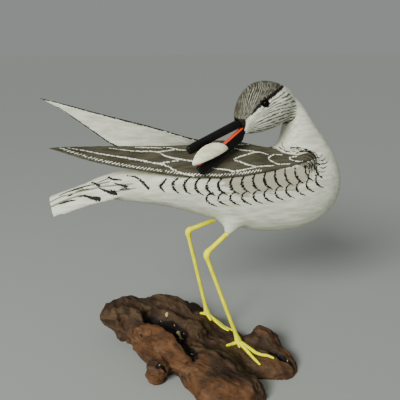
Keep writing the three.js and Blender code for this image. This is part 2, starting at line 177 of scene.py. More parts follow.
def make_plain(piece: bpy.types.Object) -> None:
    """Turn what an object's modifiers make into its own mesh, and remove them."""
    bpy.context.view_layer.update()
    graph = bpy.context.evaluated_depsgraph_get()
    plain = bpy.data.meshes.new_from_object(piece.evaluated_get(graph), depsgraph=graph)
    piece.modifiers.clear()
    old = piece.data
    piece.data = plain
    bpy.data.meshes.remove(old)
    plain.name = piece.name


def grow(piece: bpy.types.Object, tree: bpy.types.NodeTree, values: dict[str, object]) -> None:
    """Run a Geometry Nodes tree on a piece and keep what it makes.

    Args:
        piece: The object whose mesh goes in.
        tree: The tree.
        values: What its inputs are set to, by name.
    """
    modifier = piece.modifiers.new(tree.name, "NODES")
    modifier.node_group = tree
    for item in tree.interface.items_tree:
        if item.item_type == "SOCKET" and item.in_out == "INPUT" and item.name in values:
            modifier[item.identifier] = values[item.name]
    make_plain(piece)


def clear_of(points: np.ndarray, node: bpy.types.Object, low: float, high: float) -> np.ndarray:
    """Return how far points are clear of a node: 0 within the low distance, and 1 beyond the high one."""
    tree = BVHTree.FromObject(node, bpy.context.evaluated_depsgraph_get())
    gap = [tree.find_nearest(Vector(point) * MM, high * MM)[3] for point in points]
    far = np.array([high if distance is None else distance / MM for distance in gap])
    return smooth_step(low, high, far)


def hand_over(piece: bpy.types.Object, node: str, material: bpy.types.Material) -> None:
    """Give a piece its finish and put it in the place of a node.

    Args:
        piece: The finished piece.
        node: The node of the frame that it stands for.
        material: Its finish.
    """
    mesh = piece.data
    mesh.materials.clear()
    mesh.materials.append(material)
    mesh.shade_smooth()
    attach(piece, "root")
    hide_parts(node)
    mesh.calc_loop_triangles()
    log.info("%s: %d triangles", piece.name, len(mesh.loop_triangles))


class Skin:
    """A fine mesh that stands for a node of the frame. Its arrays are in millimetres."""

    weld = 0.002

    def __init__(self, name: str, node: bpy.types.Object, voxel: float) -> None:
        """Rebuild a node's skin from even little faces.

        Args:
            name: Name of the piece.
            node: The frame's node, which stays as it is.
            voxel: Length of a side of the faces.
        """
        mesh = node.data.copy()
        tidy = bmesh.new()
        tidy.from_mesh(mesh)
        bmesh.ops.remove_doubles(tidy, verts=tidy.verts, dist=self.weld * MM)
        tidy.to_mesh(mesh)
        tidy.free()
        mesh.materials.clear()
        self.object = bpy.data.objects.new(name, mesh)
        bpy.context.collection.objects.link(self.object)
        remesh = self.object.modifiers.new("Even faces", "REMESH")
        remesh.mode = "VOXEL"
        remesh.voxel_size = voxel * MM
        make_plain(self.object)

    @property
    def points(self) -> np.ndarray:
        """The vertices."""
        flat = np.empty(3 * len(self.object.data.vertices), dtype=np.float32)
        self.object.data.vertices.foreach_get("co", flat)
        return flat.reshape(-1, 3).astype(float) / MM

    @points.setter
    def points(self, places: np.ndarray) -> None:
        """Move the vertices."""
        self.object.data.vertices.foreach_set("co", (places * MM).astype(np.float32).ravel())
        self.object.data.update()

    @property
    def normals(self) -> np.ndarray:
        """The directions that the vertices face."""
        flat = np.empty(3 * len(self.object.data.vertices), dtype=np.float32)
        self.object.data.vertex_normals.foreach_get("vector", flat)
        return flat.reshape(-1, 3).astype(float)

    def tree(self) -> BVHTree:
        """Return what answers rays, in metres."""
        return BVHTree.FromObject(self.object, bpy.context.evaluated_depsgraph_get())

    def relax(self, rounds: int, give: np.ndarray | float = 1.0) -> None:
        """Smooth small unevenness away and keep the larger form.

        Args:
            rounds: How often each vertex moves towards the middle of its neighbours. Three times as many
                rounds on the loss itself tell how much of it was form, and that is given back.
            give: How much each vertex takes part, from 0 to 1.
        """
        pairs = np.empty(2 * len(self.object.data.edges), dtype=np.int32)
        self.object.data.edges.foreach_get("vertices", pairs)
        first, second = pairs.reshape(-1, 2).T
        start = self.points
        count = len(start)
        degree = np.bincount(first, minlength=count) + np.bincount(second, minlength=count)
        share = 0.5 * np.broadcast_to(np.asarray(give, dtype=float), (count,))[:, None]

        def settled(values: np.ndarray, times: int) -> np.ndarray:
            """Return the values after moving towards their neighbours' mean so many times."""
            values = values.copy()
            mean = np.empty_like(values)
            for _ in range(times):
                for axis in range(3):
                    along = values[:, axis]
                    total = np.bincount(first, along[second], count)
                    total += np.bincount(second, along[first], count)
                    mean[:, axis] = total / degree
                values += share * (mean - values)
            return values

        smooth = settled(start, rounds)
        self.points = smooth + settled(start - smooth, 3 * rounds)

    def mark(self, name: str, values: np.ndarray) -> None:
        """Store a number on each vertex for the finishes to read."""
        stored = self.object.data.attributes.new(name, "FLOAT", "POINT").data
        stored.foreach_set("value", values.astype(np.float32))

    def finish(self, node: str, slot: str, material: bpy.types.Material) -> None:
        """Hand the piece over."""
        hand_over(self.object, node, material)


@dataclass(frozen=True)
class Stroke:
    """A stroke of the brush, seen from the bird's side as places (x, z)."""

    places: tuple[Place, ...]
    width: float = 0.9
    start: float = 0.7
    end: float = 0.5

    def shifted(self, across: float, up: float) -> Stroke:
        """Return the stroke in another place."""
        return Stroke(tuple((x + across, z + up) for x, z in self.places), self.width, self.start, self.end)

    def samples(self) -> tuple[np.ndarray, np.ndarray]:
        """Return points along the stroke and half its width at each."""
        points = spline(self.places)
        share = np.linspace(0, 1, len(points))
        return points, self.width / 2 * np.interp(share, [0, 0.5, 1], [self.start, 1, self.end])


class Brush:
    """Lays strokes on a skin and lets each vertex know where the nearest one is."""

    widest_leap = 3.0
    cast_from = 200.0

    def __init__(self, skin: Skin) -> None:
        """Take up a skin to paint."""
        self.skin = skin
        self.rays = skin.tree()

    def lay(self, name: str, strokes: Iterable[Stroke], sides: Iterable[Side] = Side) -> None:
        """Project strokes on the skin from the sides and store where they lie.

        Args:
            name: Start of the names of the attributes. Of the stroke nearest to a vertex they tell how far
                across it and how far off it the vertex lies, in half widths, and how far along it, in
                millimetres.
            strokes: The strokes.
            sides: The sides of the bird that they are painted on.
        """
        landed = [mark for side in sides for stroke in strokes for mark in self._cast(stroke, side)]
        spots, ways, halves, runs = (np.array(column) for column in zip(*landed))
        near = KDTree(len(spots))
        for i, spot in enumerate(spots):
            near.insert(spot, i)
        near.balance()
        points = self.skin.points
        found = [near.find(point) for point in points]
        index = np.fromiter((i for _, i, _ in found), dtype=int, count=len(found))
        far = np.fromiter((distance for _, _, distance in found), dtype=float, count=len(found))
        side_way = np.cross(self.skin.normals, ways[index])
        side_way /= np.maximum(np.linalg.norm(side_way, axis=1, keepdims=True), 1e-6)
        gap = points - spots[index]
        self.skin.mark(name + "_across", np.einsum("ij,ij->i", gap, side_way) / halves[index])
        self.skin.mark(name + "_off", far / halves[index])
        self.skin.mark(name + "_along", runs[index] + np.einsum("ij,ij->i", gap, ways[index]))

    def _cast(self, stroke: Stroke, side: Side) -> list[tuple[np.ndarray, np.ndarray, float, float]]:
        """Return where one stroke lands on the skin, with its direction, half width and length so far."""
        points, widths = stroke.samples()
        landed = []
        for (x, z), half in zip(points, widths):
            start = Vector((x, side.value * self.cast_from, z)) * MM
            spot, *_ = self.rays.ray_cast(start, Vector((0, -side.value, 0)))
            if spot is not None:
                landed.append((np.array(spot) / MM, half))
        marks, run = [], 0.0
        for i, (spot, half) in enumerate(landed):
            way = landed[min(i + 1, len(landed) - 1)][0] - landed[max(i - 1, 0)][0]
            length = np.linalg.norm(way)
            if 0 < length < self.widest_leap:
                marks.append((spot, way / length, half, run))
                run += length / 2
        return marks


@dataclass(frozen=True)
class Hairs:
    """Hairs in rows that run between guide lines, seen from the side. The first guide lies farthest left."""

    root: Place
    guides: tuple[tuple[Place, ...], ...]
    rows: tuple[int, ...]
    tail: float = 30.0

    def mark(self, skin: Skin, name: str) -> None:
        """Store on each vertex its row, and how far from the root it lies in millimetres."""
        side_view = skin.points[:, [0, 2]]
        gaps = [distance_beside_chain(side_view, self._line(guide)) for guide in self.guides]
        row = np.zeros(len(side_view))
        for count, left, right in zip(self.rows, gaps, gaps[1:]):
            between = left / np.maximum(left - right, 1e-6)
            row += count * np.where(left <= 0, 0.0, np.where(right >= 0, 1.0, between))
        skin.mark(name + "_row", row)
        skin.mark(name + "_along", np.linalg.norm(side_view - np.asarray(self.root), axis=1))

    def _line(self, guide: tuple[Place, ...]) -> np.ndarray:
        """Return a guide as a chain that runs on straight at both ends."""
        line = spline(guide, 1.0)
        before, after = line[0] - line[1], line[-1] - line[-2]
        start = line[0] + before / np.linalg.norm(before) * self.tail
        return np.vstack((start, line, line[-1] + after / np.linalg.norm(after) * self.tail))


Socket = bpy.types.NodeSocket
Input = Socket | float | tuple | str | bpy.types.Object | bpy.types.Material | None


class Graph:
    """A node tree in the making."""

    def __init__(self, tree: bpy.types.NodeTree) -> None:
        """Work on a tree."""
        self.tree = tree

    def put(self, socket: Socket, value: Input) -> None:
        """Link an output to a socket, or set the socket's own value."""
        if isinstance(value, bpy.types.NodeSocket):
            self.tree.links.new(value, socket)
        elif value is not None:
            socket.default_value = value

    def add(self, kind: str, *values: Input, **settings: object) -> bpy.types.Node:
        """Add a node.

        Args:
            kind: Its type.
            values: What goes into its sockets, in their order. None leaves one as it is.
            settings: Its properties.

        Returns:
            The node.
        """
        node = self.tree.nodes.new(kind)
        for name, setting in settings.items():
            setattr(node, name, setting)
        for socket, value in zip(node.inputs, values):
            self.put(socket, value)
        return node

    def math(self, operation: str, first: Input, second: Input = None) -> Socket:
        """Return what an operation makes of one or two numbers."""
        return self.add("ShaderNodeMath", first, second, operation=operation).outputs[0]

    def plus(self, first: Input, second: Input) -> Socket:
        """Return the sum of two numbers."""
        return self.math("ADD", first, second)

    def minus(self, first: Input, second: Input) -> Socket:
        """Return the first number less the second."""
        return self.math("SUBTRACT", first, second)

    def times(self, first: Input, second: Input) -> Socket:
        """Return the product of two numbers."""
        return self.math("MULTIPLY", first, second)

    def vector(self, operation: str, first: Input, second: Input = None) -> Socket:
        """Return what an operation makes of one or two vectors."""
        return self.add("ShaderNodeVectorMath", first, second, operation=operation).outputs[0]

    def step(self, value: Input, low: Input, high: Input) -> Socket:
        """Rise softly from 0 where the value is low to 1 where it is high."""
        node = self.add("ShaderNodeMapRange", value, low, high, 0.0, 1.0, interpolation_type="SMOOTHSTEP")
        return node.outputs[0]

    def noise(self, place: Input, scale: float = 1.0, detail: float = 2.0) -> Socket:
        """Return soft noise about a half."""
        return self.add("ShaderNodeTexNoise", place, None, scale, detail, 0.55).outputs[0]

    def sway(self, place: Input, scale: float, detail: float, reach: Input) -> Socket:
        """Return soft noise about 0 that spans a reach."""
        return self.times(self.minus(self.noise(place, scale, detail), 0.5), reach)

    def blend(self, share: Input, first: Input, second: Input) -> Socket:
        """Return the first colour turning into the second with a share."""
        node = self.add("ShaderNodeMix", share, data_type="RGBA")
        self.put(node.inputs[6], first)
        self.put(node.inputs[7], second)
        return node.outputs[2]

    def read(self, name: str) -> Socket:
        """Return a number stored on the vertices."""
        if self.tree.bl_idname == "GeometryNodeTree":
            return self.add("GeometryNodeInputNamedAttribute", name, data_type="FLOAT").outputs["Attribute"]
        return self.add("ShaderNodeAttribute", attribute_name=name).outputs["Fac"]

    def place(self) -> Socket:
        """Return the place in the frame in millimetres, in a material."""
        coordinates = self.add("ShaderNodeTexCoord").outputs["Object"]
        return self.vector("MULTIPLY", coordinates, (1 / MM,) * 3)

    def use(self, group: bpy.types.NodeTree, **values: Input) -> bpy.types.Node:
        """Add a node group and set its inputs by name."""
        kind = "ShaderNodeGroup" if group.bl_idname == "ShaderNodeTree" else "GeometryNodeGroup"
        node = self.tree.nodes.new(kind)
        node.node_tree = group
        for name, value in values.items():
            self.put(node.inputs[name.capitalize()], value)
        return node


@dataclass
class Group:
    """The outline of a node group: its name, its inputs with what each starts from, and its outputs."""

    name: str
    inputs: dict[str, tuple[Kind, object]]
    outputs: dict[str, Kind]
    kind: str = "ShaderNodeTree"

    def begin(self) -> tuple[Graph, Socket, bpy.types.Node]:
        """Make the tree with its sockets.

        Returns:
            The graph, the outputs of its input node, and its output node.
        """
        tree = bpy.data.node_groups.new(self.name, self.kind)
        for name, (kind, start) in self.inputs.items():
            socket = tree.interface.new_socket(name, in_out="INPUT", socket_type=kind.value)
            if start is not None:
                socket.default_value = start
        for name, kind in self.outputs.items():
            tree.interface.new_socket(name, in_out="OUTPUT", socket_type=kind.value)
        graph = Graph(tree)
        return graph, graph.add("NodeGroupInput").outputs, graph.add("NodeGroupOutput")


class Effects:
    """The node groups that several finishes share."""

    def __init__(self) -> None:
        """Build them all."""
        self.brushwork = self._brushwork()
        self.stroke = self._stroke()
        self.rows = self._rows()

    @staticmethod
    def _brushwork() -> bpy.types.NodeTree:
        """Return the marks that a brush leaves: their tone and their height."""
        outline = Group(
            "Brushwork",
            {"Place": (Kind.VECTOR, None), "Hair": (Kind.VECTOR, (6.0, 0.8, 0.8))},
            {"Tone": Kind.NUMBER, "Height": Kind.NUMBER},
        )
        graph, inputs, out = outline.begin()
        hairs = graph.vector("DIVIDE", inputs["Place"], inputs["Hair"])
        graph.put(out.inputs["Tone"], graph.step(graph.noise(hairs, 0.45, 4.0), 0.3, 0.7))
        graph.put(out.inputs["Height"], graph.noise(hairs, 1.0, 3.0))
        return graph.tree

    @staticmethod
    def _stroke() -> bpy.types.NodeTree:
        """Return where paint lies on a stroke whose edges are ragged and whose brush runs dry."""
        outline = Group(
            "Stroke",
            {
                "Place": (Kind.VECTOR, None),
                "Across": (Kind.NUMBER, 9.0),
                "Off": (Kind.NUMBER, 9.0),
                "Ragged": (Kind.NUMBER, 1.0),
                "Dry": (Kind.NUMBER, 0.3),
            },
            {"Mask": Kind.NUMBER},
        )
        graph, inputs, out = outline.begin()
        wander = graph.sway(inputs["Place"], 0.9, 3.0, inputs["Ragged"])
        edge = graph.plus(graph.math("ABSOLUTE", inputs["Across"]), wander)
        within = graph.minus(1.0, graph.step(edge, 0.7, 1.1))
        ends = graph.minus(1.0, graph.step(inputs["Off"], 1.5, 1.9))
        wet = graph.minus(graph.noise(inputs["Place"], 0.75, 2.0), inputs["Dry"])
        held = graph.step(wet, -0.02, 0.06)
        graph.put(out.inputs["Mask"], graph.times(graph.times(within, ends), held))
        return graph.tree

    @staticmethod
    def _rows() -> bpy.types.NodeTree:
        """Return hairs that run along rows, broken into tapering dashes. Lengths are in millimetres."""
        outline = Group(
            "Rows",
            {
                "Place": (Kind.VECTOR, None),
                "Row": (Kind.NUMBER, 0.0),
                "Along": (Kind.NUMBER, 0.0),
                "Share": (Kind.NUMBER, 0.5),
                "Dash": (Kind.NUMBER, 4.0),
                "Gap": (Kind.NUMBER, 0.5),
                "Wander": (Kind.NUMBER, 0.5),
                "Shift": (Kind.NUMBER, 0.0),
            },
            {"Mask": Kind.NUMBER},
        )
        graph, inputs, out = outline.begin()
        sway = graph.sway(inputs["Place"], 0.3, 2.0, inputs["Wander"])
        row = graph.plus(graph.plus(inputs["Row"], inputs["Shift"]), sway)
        index = graph.math("ROUND", row)
        off = graph.math("ABSOLUTE", graph.minus(row, index))
        along = graph.math("DIVIDE", inputs["Along"], inputs["Dash"])
        lane = graph.times(index, 3.7)
        spot = graph.add("ShaderNodeCombineXYZ", lane, along, inputs["Shift"]).outputs[0]
        wet = graph.step(graph.minus(graph.noise(spot, 1.0, 2.0), inputs["Gap"]), -0.1, 0.12)
        half = graph.times(graph.times(inputs["Share"], 0.5), wet)
        graph.put(out.inputs["Mask"], graph.step(graph.minus(half, off), -0.02, 0.08))
        return graph.tree


def blank(name: str) -> tuple[bpy.types.Material, Graph, bpy.types.Node]:
    """Return a new material, its graph and its surface node."""
    material = bpy.data.materials.new(name)
    material.use_nodes = True
    return material, Graph(material.node_tree), material.node_tree.nodes["Principled BSDF"]


def bump(graph: Graph, surface: bpy.types.Node, height: Socket, depth: float, strength: float = 1.0) -> None:
    """Let a height, whose full range is a depth in millimetres, tilt a surface."""
    node = graph.add("ShaderNodeBump", strength, depth * MM)
    graph.put(node.inputs["Height"], height)
    graph.put(surface.inputs["Normal"], node.outputs["Normal"])


@dataclass(frozen=True)
class Plumage:
    """The paints of the bird's feathers, and the ways of laying them on."""

    white: Colour = srgb(224, 227, 206)
    shade: Colour = srgb(180, 181, 158)
    taupe: Colour = srgb(82, 79, 61)
    umber: Colour = srgb(59, 56, 41)
    ash: Colour = srgb(122, 122, 104)
    beige: Colour = srgb(152, 145, 122)
    ink: Colour = srgb(16, 13, 8)
    chalk: Colour = srgb(246, 246, 228)
    roughness: float = 0.6
    gloss: float = 0.25

    def begin(
        self, name: str, effects: Effects
    ) -> tuple[bpy.types.Material, Graph, bpy.types.Node, Socket, Socket]:
        """Start a coat of paint that shows its brush marks.

        Args:
            name: Name of the material.
            effects: The shared node groups.

        Returns:
            The material, its graph, its surface, the place in millimetres and the tone of the brush marks.
        """
        material, graph, surface = blank(name)
        place = graph.place()
        brush = graph.use(effects.brushwork, place=place, hair=(7.0, 1.1, 1.1)).outputs
        surface.inputs["Roughness"].default_value = self.roughness
        surface.inputs["Specular IOR Level"].default_value = self.gloss
        bump(graph, surface, brush["Height"], 0.3, 0.45)
        return material, graph, surface, place, brush["Tone"]

    def ground(self, graph: Graph, tone: Socket) -> Socket:
        """Return the white that everything else is painted on."""
        return graph.blend(graph.times(tone, 0.75), self.white, self.shade)

    def brown(self, graph: Graph, place: Socket, tone: Socket) -> Socket:
        """Return the taupe of the wings and shoulders."""
        cloudy = graph.times(graph.plus(tone, graph.noise(place, 0.07)), 0.5)
        return graph.blend(graph.step(cloudy, 0.2, 0.8), self.taupe, self.umber)

    def stroke(
        self,
        graph: Graph,
        effects: Effects,
        place: Socket,
        under: Socket,
        name: str,
        paint: Colour,
        ragged: float = 2.6,
        dry: float = 0.34,
        cover: float = 1.0,
    ) -> Socket:
        """Paint the strokes of one name over colours.

        Args:
            graph: The material's graph.
            effects: The shared node groups.
            place: The place in millimetres.
            under: The colours that they are painted on.
            name: The name that they were laid with.
            paint: Their colour.
            ragged: How uneven their edges are.
            dry: How much of them a dry brush leaves out.
            cover: How much they hide.

        Returns:
            The colours with the strokes.
        """
        across, off = graph.read(name + "_across"), graph.read(name + "_off")
        mask = graph.use(
            effects.stroke, place=place, across=across, off=off, ragged=ragged, dry=dry
        ).outputs["Mask"]
        return graph.blend(graph.times(mask, cover), under, paint)


@dataclass(frozen=True)
class BodyPaint(Plumage):
    """White with a streaked crown and cheek, a taupe back, dark strokes and painted shade away from the
    flanks.
    """

    olive: Colour = srgb(90, 89, 73)
    hair: Colour = srgb(154, 154, 136)
    painted_shade_tone: float = 0.6
    patch_streaks: float = 5.0
    patch_cover: float = 0.75
    wash_ragged: float = 5.0

    def build(self, effects: Effects) -> bpy.types.Material:
        """Return the material."""
        material, graph, surface, place, tone = self.begin("White paint", effects)
        # Where a face doesn't look sideways, the brush tone gives way to an even, darker tone: painted shade
        # on the breast, belly, back and edges.
        side = graph.read("side")
        facing_shade = graph.times(graph.minus(1.0, side), self.painted_shade_tone)
        colour = self.ground(graph, graph.plus(graph.times(tone, side), facing_shade))
        uneven = graph.minus(graph.plus(tone, graph.noise(place, 0.2)), 1.0)
        patch = graph.plus(graph.read("patch"), graph.times(uneven, self.patch_streaks))
        colour = graph.blend(graph.times(graph.step(patch, -0.4, 1.2), self.patch_cover), colour, self.beige)
        colour = self._cheek(graph, effects, place, colour)
        colour = self._crown(graph, effects, place, tone, colour)
        # Painted shade along the tail's grooves.
        colour = self.stroke(
            graph, effects, place, colour, "groove_shade", self.umber, ragged=1.4, dry=0.14, cover=0.75
        )
        fade = graph.read("fade")
        ragged = graph.sway(place, 0.45, 4.0, self.wash_ragged)
        soft = graph.plus(0.4, graph.times(fade, 2.2))
        wash = graph.step(graph.plus(graph.read("wash"), ragged), graph.times(soft, -1.0), soft)
        mantle = graph.blend(graph.times(fade, 0.8), self.brown(graph, place, tone), self.ash)
        colour = graph.blend(wash, colour, mantle)
        colour = self.stroke(graph, effects, place, colour, "pale", self.chalk)
        colour = self.stroke(graph, effects, place, colour, "ink", self.ink, ragged=2.7)
        colour = self.stroke(graph, effects, place, colour, "stripe", self.ink, ragged=1.8, dry=0.2)
        root = graph.plus(graph.read("root"), graph.minus(graph.noise(place, 0.7), 0.5))
        colour = graph.blend(graph.step(root, 0.0, 0.5), colour, self.ink)
        graph.put(surface.inputs["Base Color"], colour)
        return material

    def _crown(self, graph: Graph, effects: Effects, place: Socket, tone: Socket, under: Socket) -> Socket:
        """Streak the crown with pale and dark hairs that run up from the bill."""
        pale = self._hairs(graph, effects, place, "crown", share=0.44, dash=3.4, gap=0.47, wander=0.6)
        dark = self._hairs(
            graph, effects, place, "crown", share=0.44, dash=2.8, gap=0.49, wander=0.6, shift=0.5
        )
        colour = graph.blend(tone, self.olive, self.umber)
        shown = graph.minus(0.95, graph.times(graph.read("brow"), 0.75))
        colour = graph.blend(graph.times(graph.times(pale, 0.8), shown), colour, self.hair)
        colour = graph.blend(graph.times(dark, shown), colour, self.ink)
        return graph.blend(graph.step(graph.read("crown"), -0.4, 0.4), under, colour)

    def _cheek(self, graph: Graph, effects: Effects, place: Socket, under: Socket) -> Socket:
        """Fan rows of fine dark dashes over the cheek from the root of the bill."""
        dashes = self._hairs(graph, effects, place, "cheek", share=0.48, dash=5.6, gap=0.4, wander=1.0)
        inside = graph.step(graph.read("cheek"), -0.6, 0.8)
        return graph.blend(graph.times(graph.times(dashes, inside), 0.85), under, self.ink)

    @staticmethod
    def _hairs(graph: Graph, effects: Effects, place: Socket, name: str, **form: float) -> Socket:
        """Return where the hairs of one name lie along their rows, in the form that is given."""
        row, along = graph.read(name + "_row"), graph.read(name + "_along")
        return graph.use(effects.rows, place=place, row=row, along=along, **form).outputs["Mask"]


@dataclass(frozen=True)
class WingPaint(Plumage):
    """Taupe with pale feather edges on the outer face, and white on the inner one."""

    pitch: float = 2.2
    slant: float = 0.9

    def build(self, effects: Effects) -> bpy.types.Material:
        """Return the material."""
        material, graph, surface, place, tone = self.begin("Taupe paint", effects)
        wash = graph.step(graph.read("wash"), -0.4, 0.4)
        colour = graph.blend(wash, self.ground(graph, tone), self.brown(graph, place, tone))
        colour = graph.blend(self._rim(graph, place), colour, self.chalk)
        colour = self.stroke(
            graph, effects, place, colour, "pale", self.chalk, ragged=4.4, dry=0.37, cover=0.92
        )
        colour = self.stroke(graph, effects, place, colour, "ink", self.ink)
        colour = graph.blend(graph.read("edge"), colour, self.ink)
        graph.put(surface.inputs["Base Color"], colour)
        return material

    def _rim(self, graph: Graph, place: Socket) -> Socket:
        """Return the row of slanting dabs along the lower edge."""
        turns = graph.math("DIVIDE", graph.read("rim_along"), self.pitch)
        turn = graph.math("FRACT", graph.plus(turns, graph.noise(place, 0.3)))
        slant = graph.times(graph.minus(turn, 0.5), 2 * self.slant)
        off = graph.math("ABSOLUTE", graph.minus(graph.read("rim_across"), slant))
        dab = graph.minus(1.0, graph.step(graph.plus(off, graph.sway(place, 0.8, 3.0, 1.8)), 0.22, 0.5))
        reach = graph.minus(1.0, graph.step(graph.read("rim_off"), 1.0, 1.3))
        broken = graph.step(graph.noise(place, 0.12, 2.0), 0.26, 0.34)
        return graph.times(graph.times(dab, reach), broken)


@dataclass(frozen=True)
class BillPaint:
    """Black paint on the bill, and red-orange on its inner faces."""

    black: Colour = srgb(9, 9, 7)
    worn: Colour = srgb(24, 23, 19)
    inner: Colour = srgb(212, 66, 30)

    def build(self, effects: Effects) -> bpy.types.Material:
        """Return the material."""
        material, graph, surface = blank("Black paint")
        place = graph.place()
        brush = graph.use(effects.brushwork, place=place, hair=(3.0, 1.0, 1.6)).outputs
        colour = graph.blend(graph.times(brush["Tone"], 0.4), self.black, self.worn)
        inside = graph.plus(graph.read("inner"), graph.times(graph.noise(place, 1.1), 0.3))
        colour = graph.blend(graph.step(inside, 0.6, 0.75), colour, self.inner)
        graph.put(surface.inputs["Base Color"], colour)
        surface.inputs["Roughness"].default_value = 0.45
        surface.inputs["Specular IOR Level"].default_value = 0.2
        bump(graph, surface, brush["Height"], 0.2, 0.3)
        return material


@dataclass(frozen=True)
class PlainPaint:
    """One colour of paint, a little uneven where the brush went."""

    name: str
    colour: Colour
    thin: Colour
    hair: Spot
    roughness: float = 0.5
    gloss: float = 0.3
    depth: float = 0.2

    def build(self, effects: Effects) -> bpy.types.Material:
        """Return the material."""
        material, graph, surface = blank(self.name)
        brush = graph.use(effects.brushwork, place=graph.place(), hair=self.hair).outputs
        graph.put(surface.inputs["Base Color"], graph.blend(brush["Tone"], self.colour, self.thin))
        surface.inputs["Roughness"].default_value = self.roughness
        surface.inputs["Specular IOR Level"].default_value = self.gloss
        bump(graph, surface, brush["Height"], self.depth, 0.4)
        return material


@dataclass(frozen=True)
class BeadGlass:
    """The eyes' dark glass."""

    colour: Colour = srgb(10, 6, 2)

    def build(self) -> bpy.types.Material:
        """Return the material."""
        material, _, surface = blank("Black glass")
        surface.inputs["Base Color"].default_value = self.colour
        surface.inputs["Roughness"].default_value = 0.3
        surface.inputs["Specular IOR Level"].default_value = 0.08
        return material


@dataclass(frozen=True)
class BurlWood:
    """Weathered driftwood: brown folds with painted light on their relief, orange-brown lobes and near-black
    hollows with pale chips.
    """

    bark: Colour = srgb(72, 54, 36)
    dark: Colour = srgb(42, 29, 19)
    ridge: Colour = srgb(92, 73, 50)
    lobe: Colour = srgb(94, 62, 35)
    lobe_dark: Colour = srgb(64, 42, 25)
    worn: Colour = srgb(122, 92, 64)
    pit: Colour = srgb(18, 12, 9)
    rust: Colour = srgb(134, 66, 26)
    chip: Colour = srgb(172, 160, 110)
    speckle: Colour = srgb(134, 112, 84)

    def build(self, effects: Effects) -> bpy.types.Material:
        """Return the material."""
        material, graph, surface = blank("Driftwood")
        place = graph.place()
        turned = graph.add("ShaderNodeVectorRotate", place, (0, 0, 0), None, GRAIN, rotation_type="Z_AXIS")
        stretched = graph.vector("MULTIPLY", turned.outputs[0], (0.3, 1.0, 1.0))
        blotch = graph.step(graph.noise(place, 0.075, 3.0), 0.35, 0.65)
        fibre = graph.step(graph.noise(stretched, 0.55, 5.0), 0.3, 0.7)
        speck = graph.minus(graph.noise(place, 0.8, 4.0), 0.5)
        height = graph.read("height")
        bark = graph.blend(fibre, self.dark, self.bark)
        bark = graph.blend(graph.times(blotch, 0.5), bark, self.ridge)
        # Lighter where the relief stands up and darker where it dips: painted highlight on the folds and
        # painted shade in the dips.
        bark = graph.blend(graph.times(graph.step(height, 0.1, 0.9), 0.7), bark, self.ridge)
        bark = graph.blend(graph.times(graph.step(height, -0.1, -0.9), 0.8), bark, self.dark)
        lobe = graph.blend(graph.step(graph.plus(fibre, blotch), 0.2, 1.5), self.lobe_dark, self.lobe)
        rubbed = graph.step(graph.noise(stretched, 0.16, 4.0), 0.5, 0.72)
        lobe = graph.blend(graph.times(rubbed, 0.6), lobe, self.worn)
        share = graph.plus(graph.read("lobe"), graph.times(speck, 0.35))
        colour = graph.blend(graph.step(share, 0.1, 0.9), bark, lobe)
        # More painted shade in the dips of the relief.
        colour = graph.blend(graph.times(graph.step(height, -0.15, -0.8), 0.5), colour, self.dark)
        rust = graph.plus(graph.read("rust"), graph.times(speck, 1.6))
        colour = graph.blend(graph.times(graph.step(rust, 0.2, 0.9), 0.6), colour, self.rust)
        hollow = graph.plus(graph.read("hollow"), graph.times(speck, 0.7))
        colour = graph.blend(graph.step(hollow, 0.35, 0.6), colour, self.pit)
        dots = graph.times(graph.step(graph.noise(place, 1.1, 1.0), 0.69, 0.76), blotch)
        colour = graph.blend(graph.times(dots, 0.7), colour, self.speckle)
        chip = graph.plus(graph.read("chip"), graph.times(speck, 0.8))
        colour = graph.blend(graph.step(chip, 0.45, 0.55), colour, self.chip)
        graph.put(surface.inputs["Base Color"], colour)
        graph.put(surface.inputs["Roughness"], graph.plus(0.6, graph.times(fibre, 0.2)))
        surface.inputs["Specular IOR Level"].default_value = 0.2
        rough = graph.plus(graph.noise(stretched, 0.9, 6.0), graph.times(speck, 0.6))
        bump(graph, surface, rough, 0.9, 0.7)
        return material


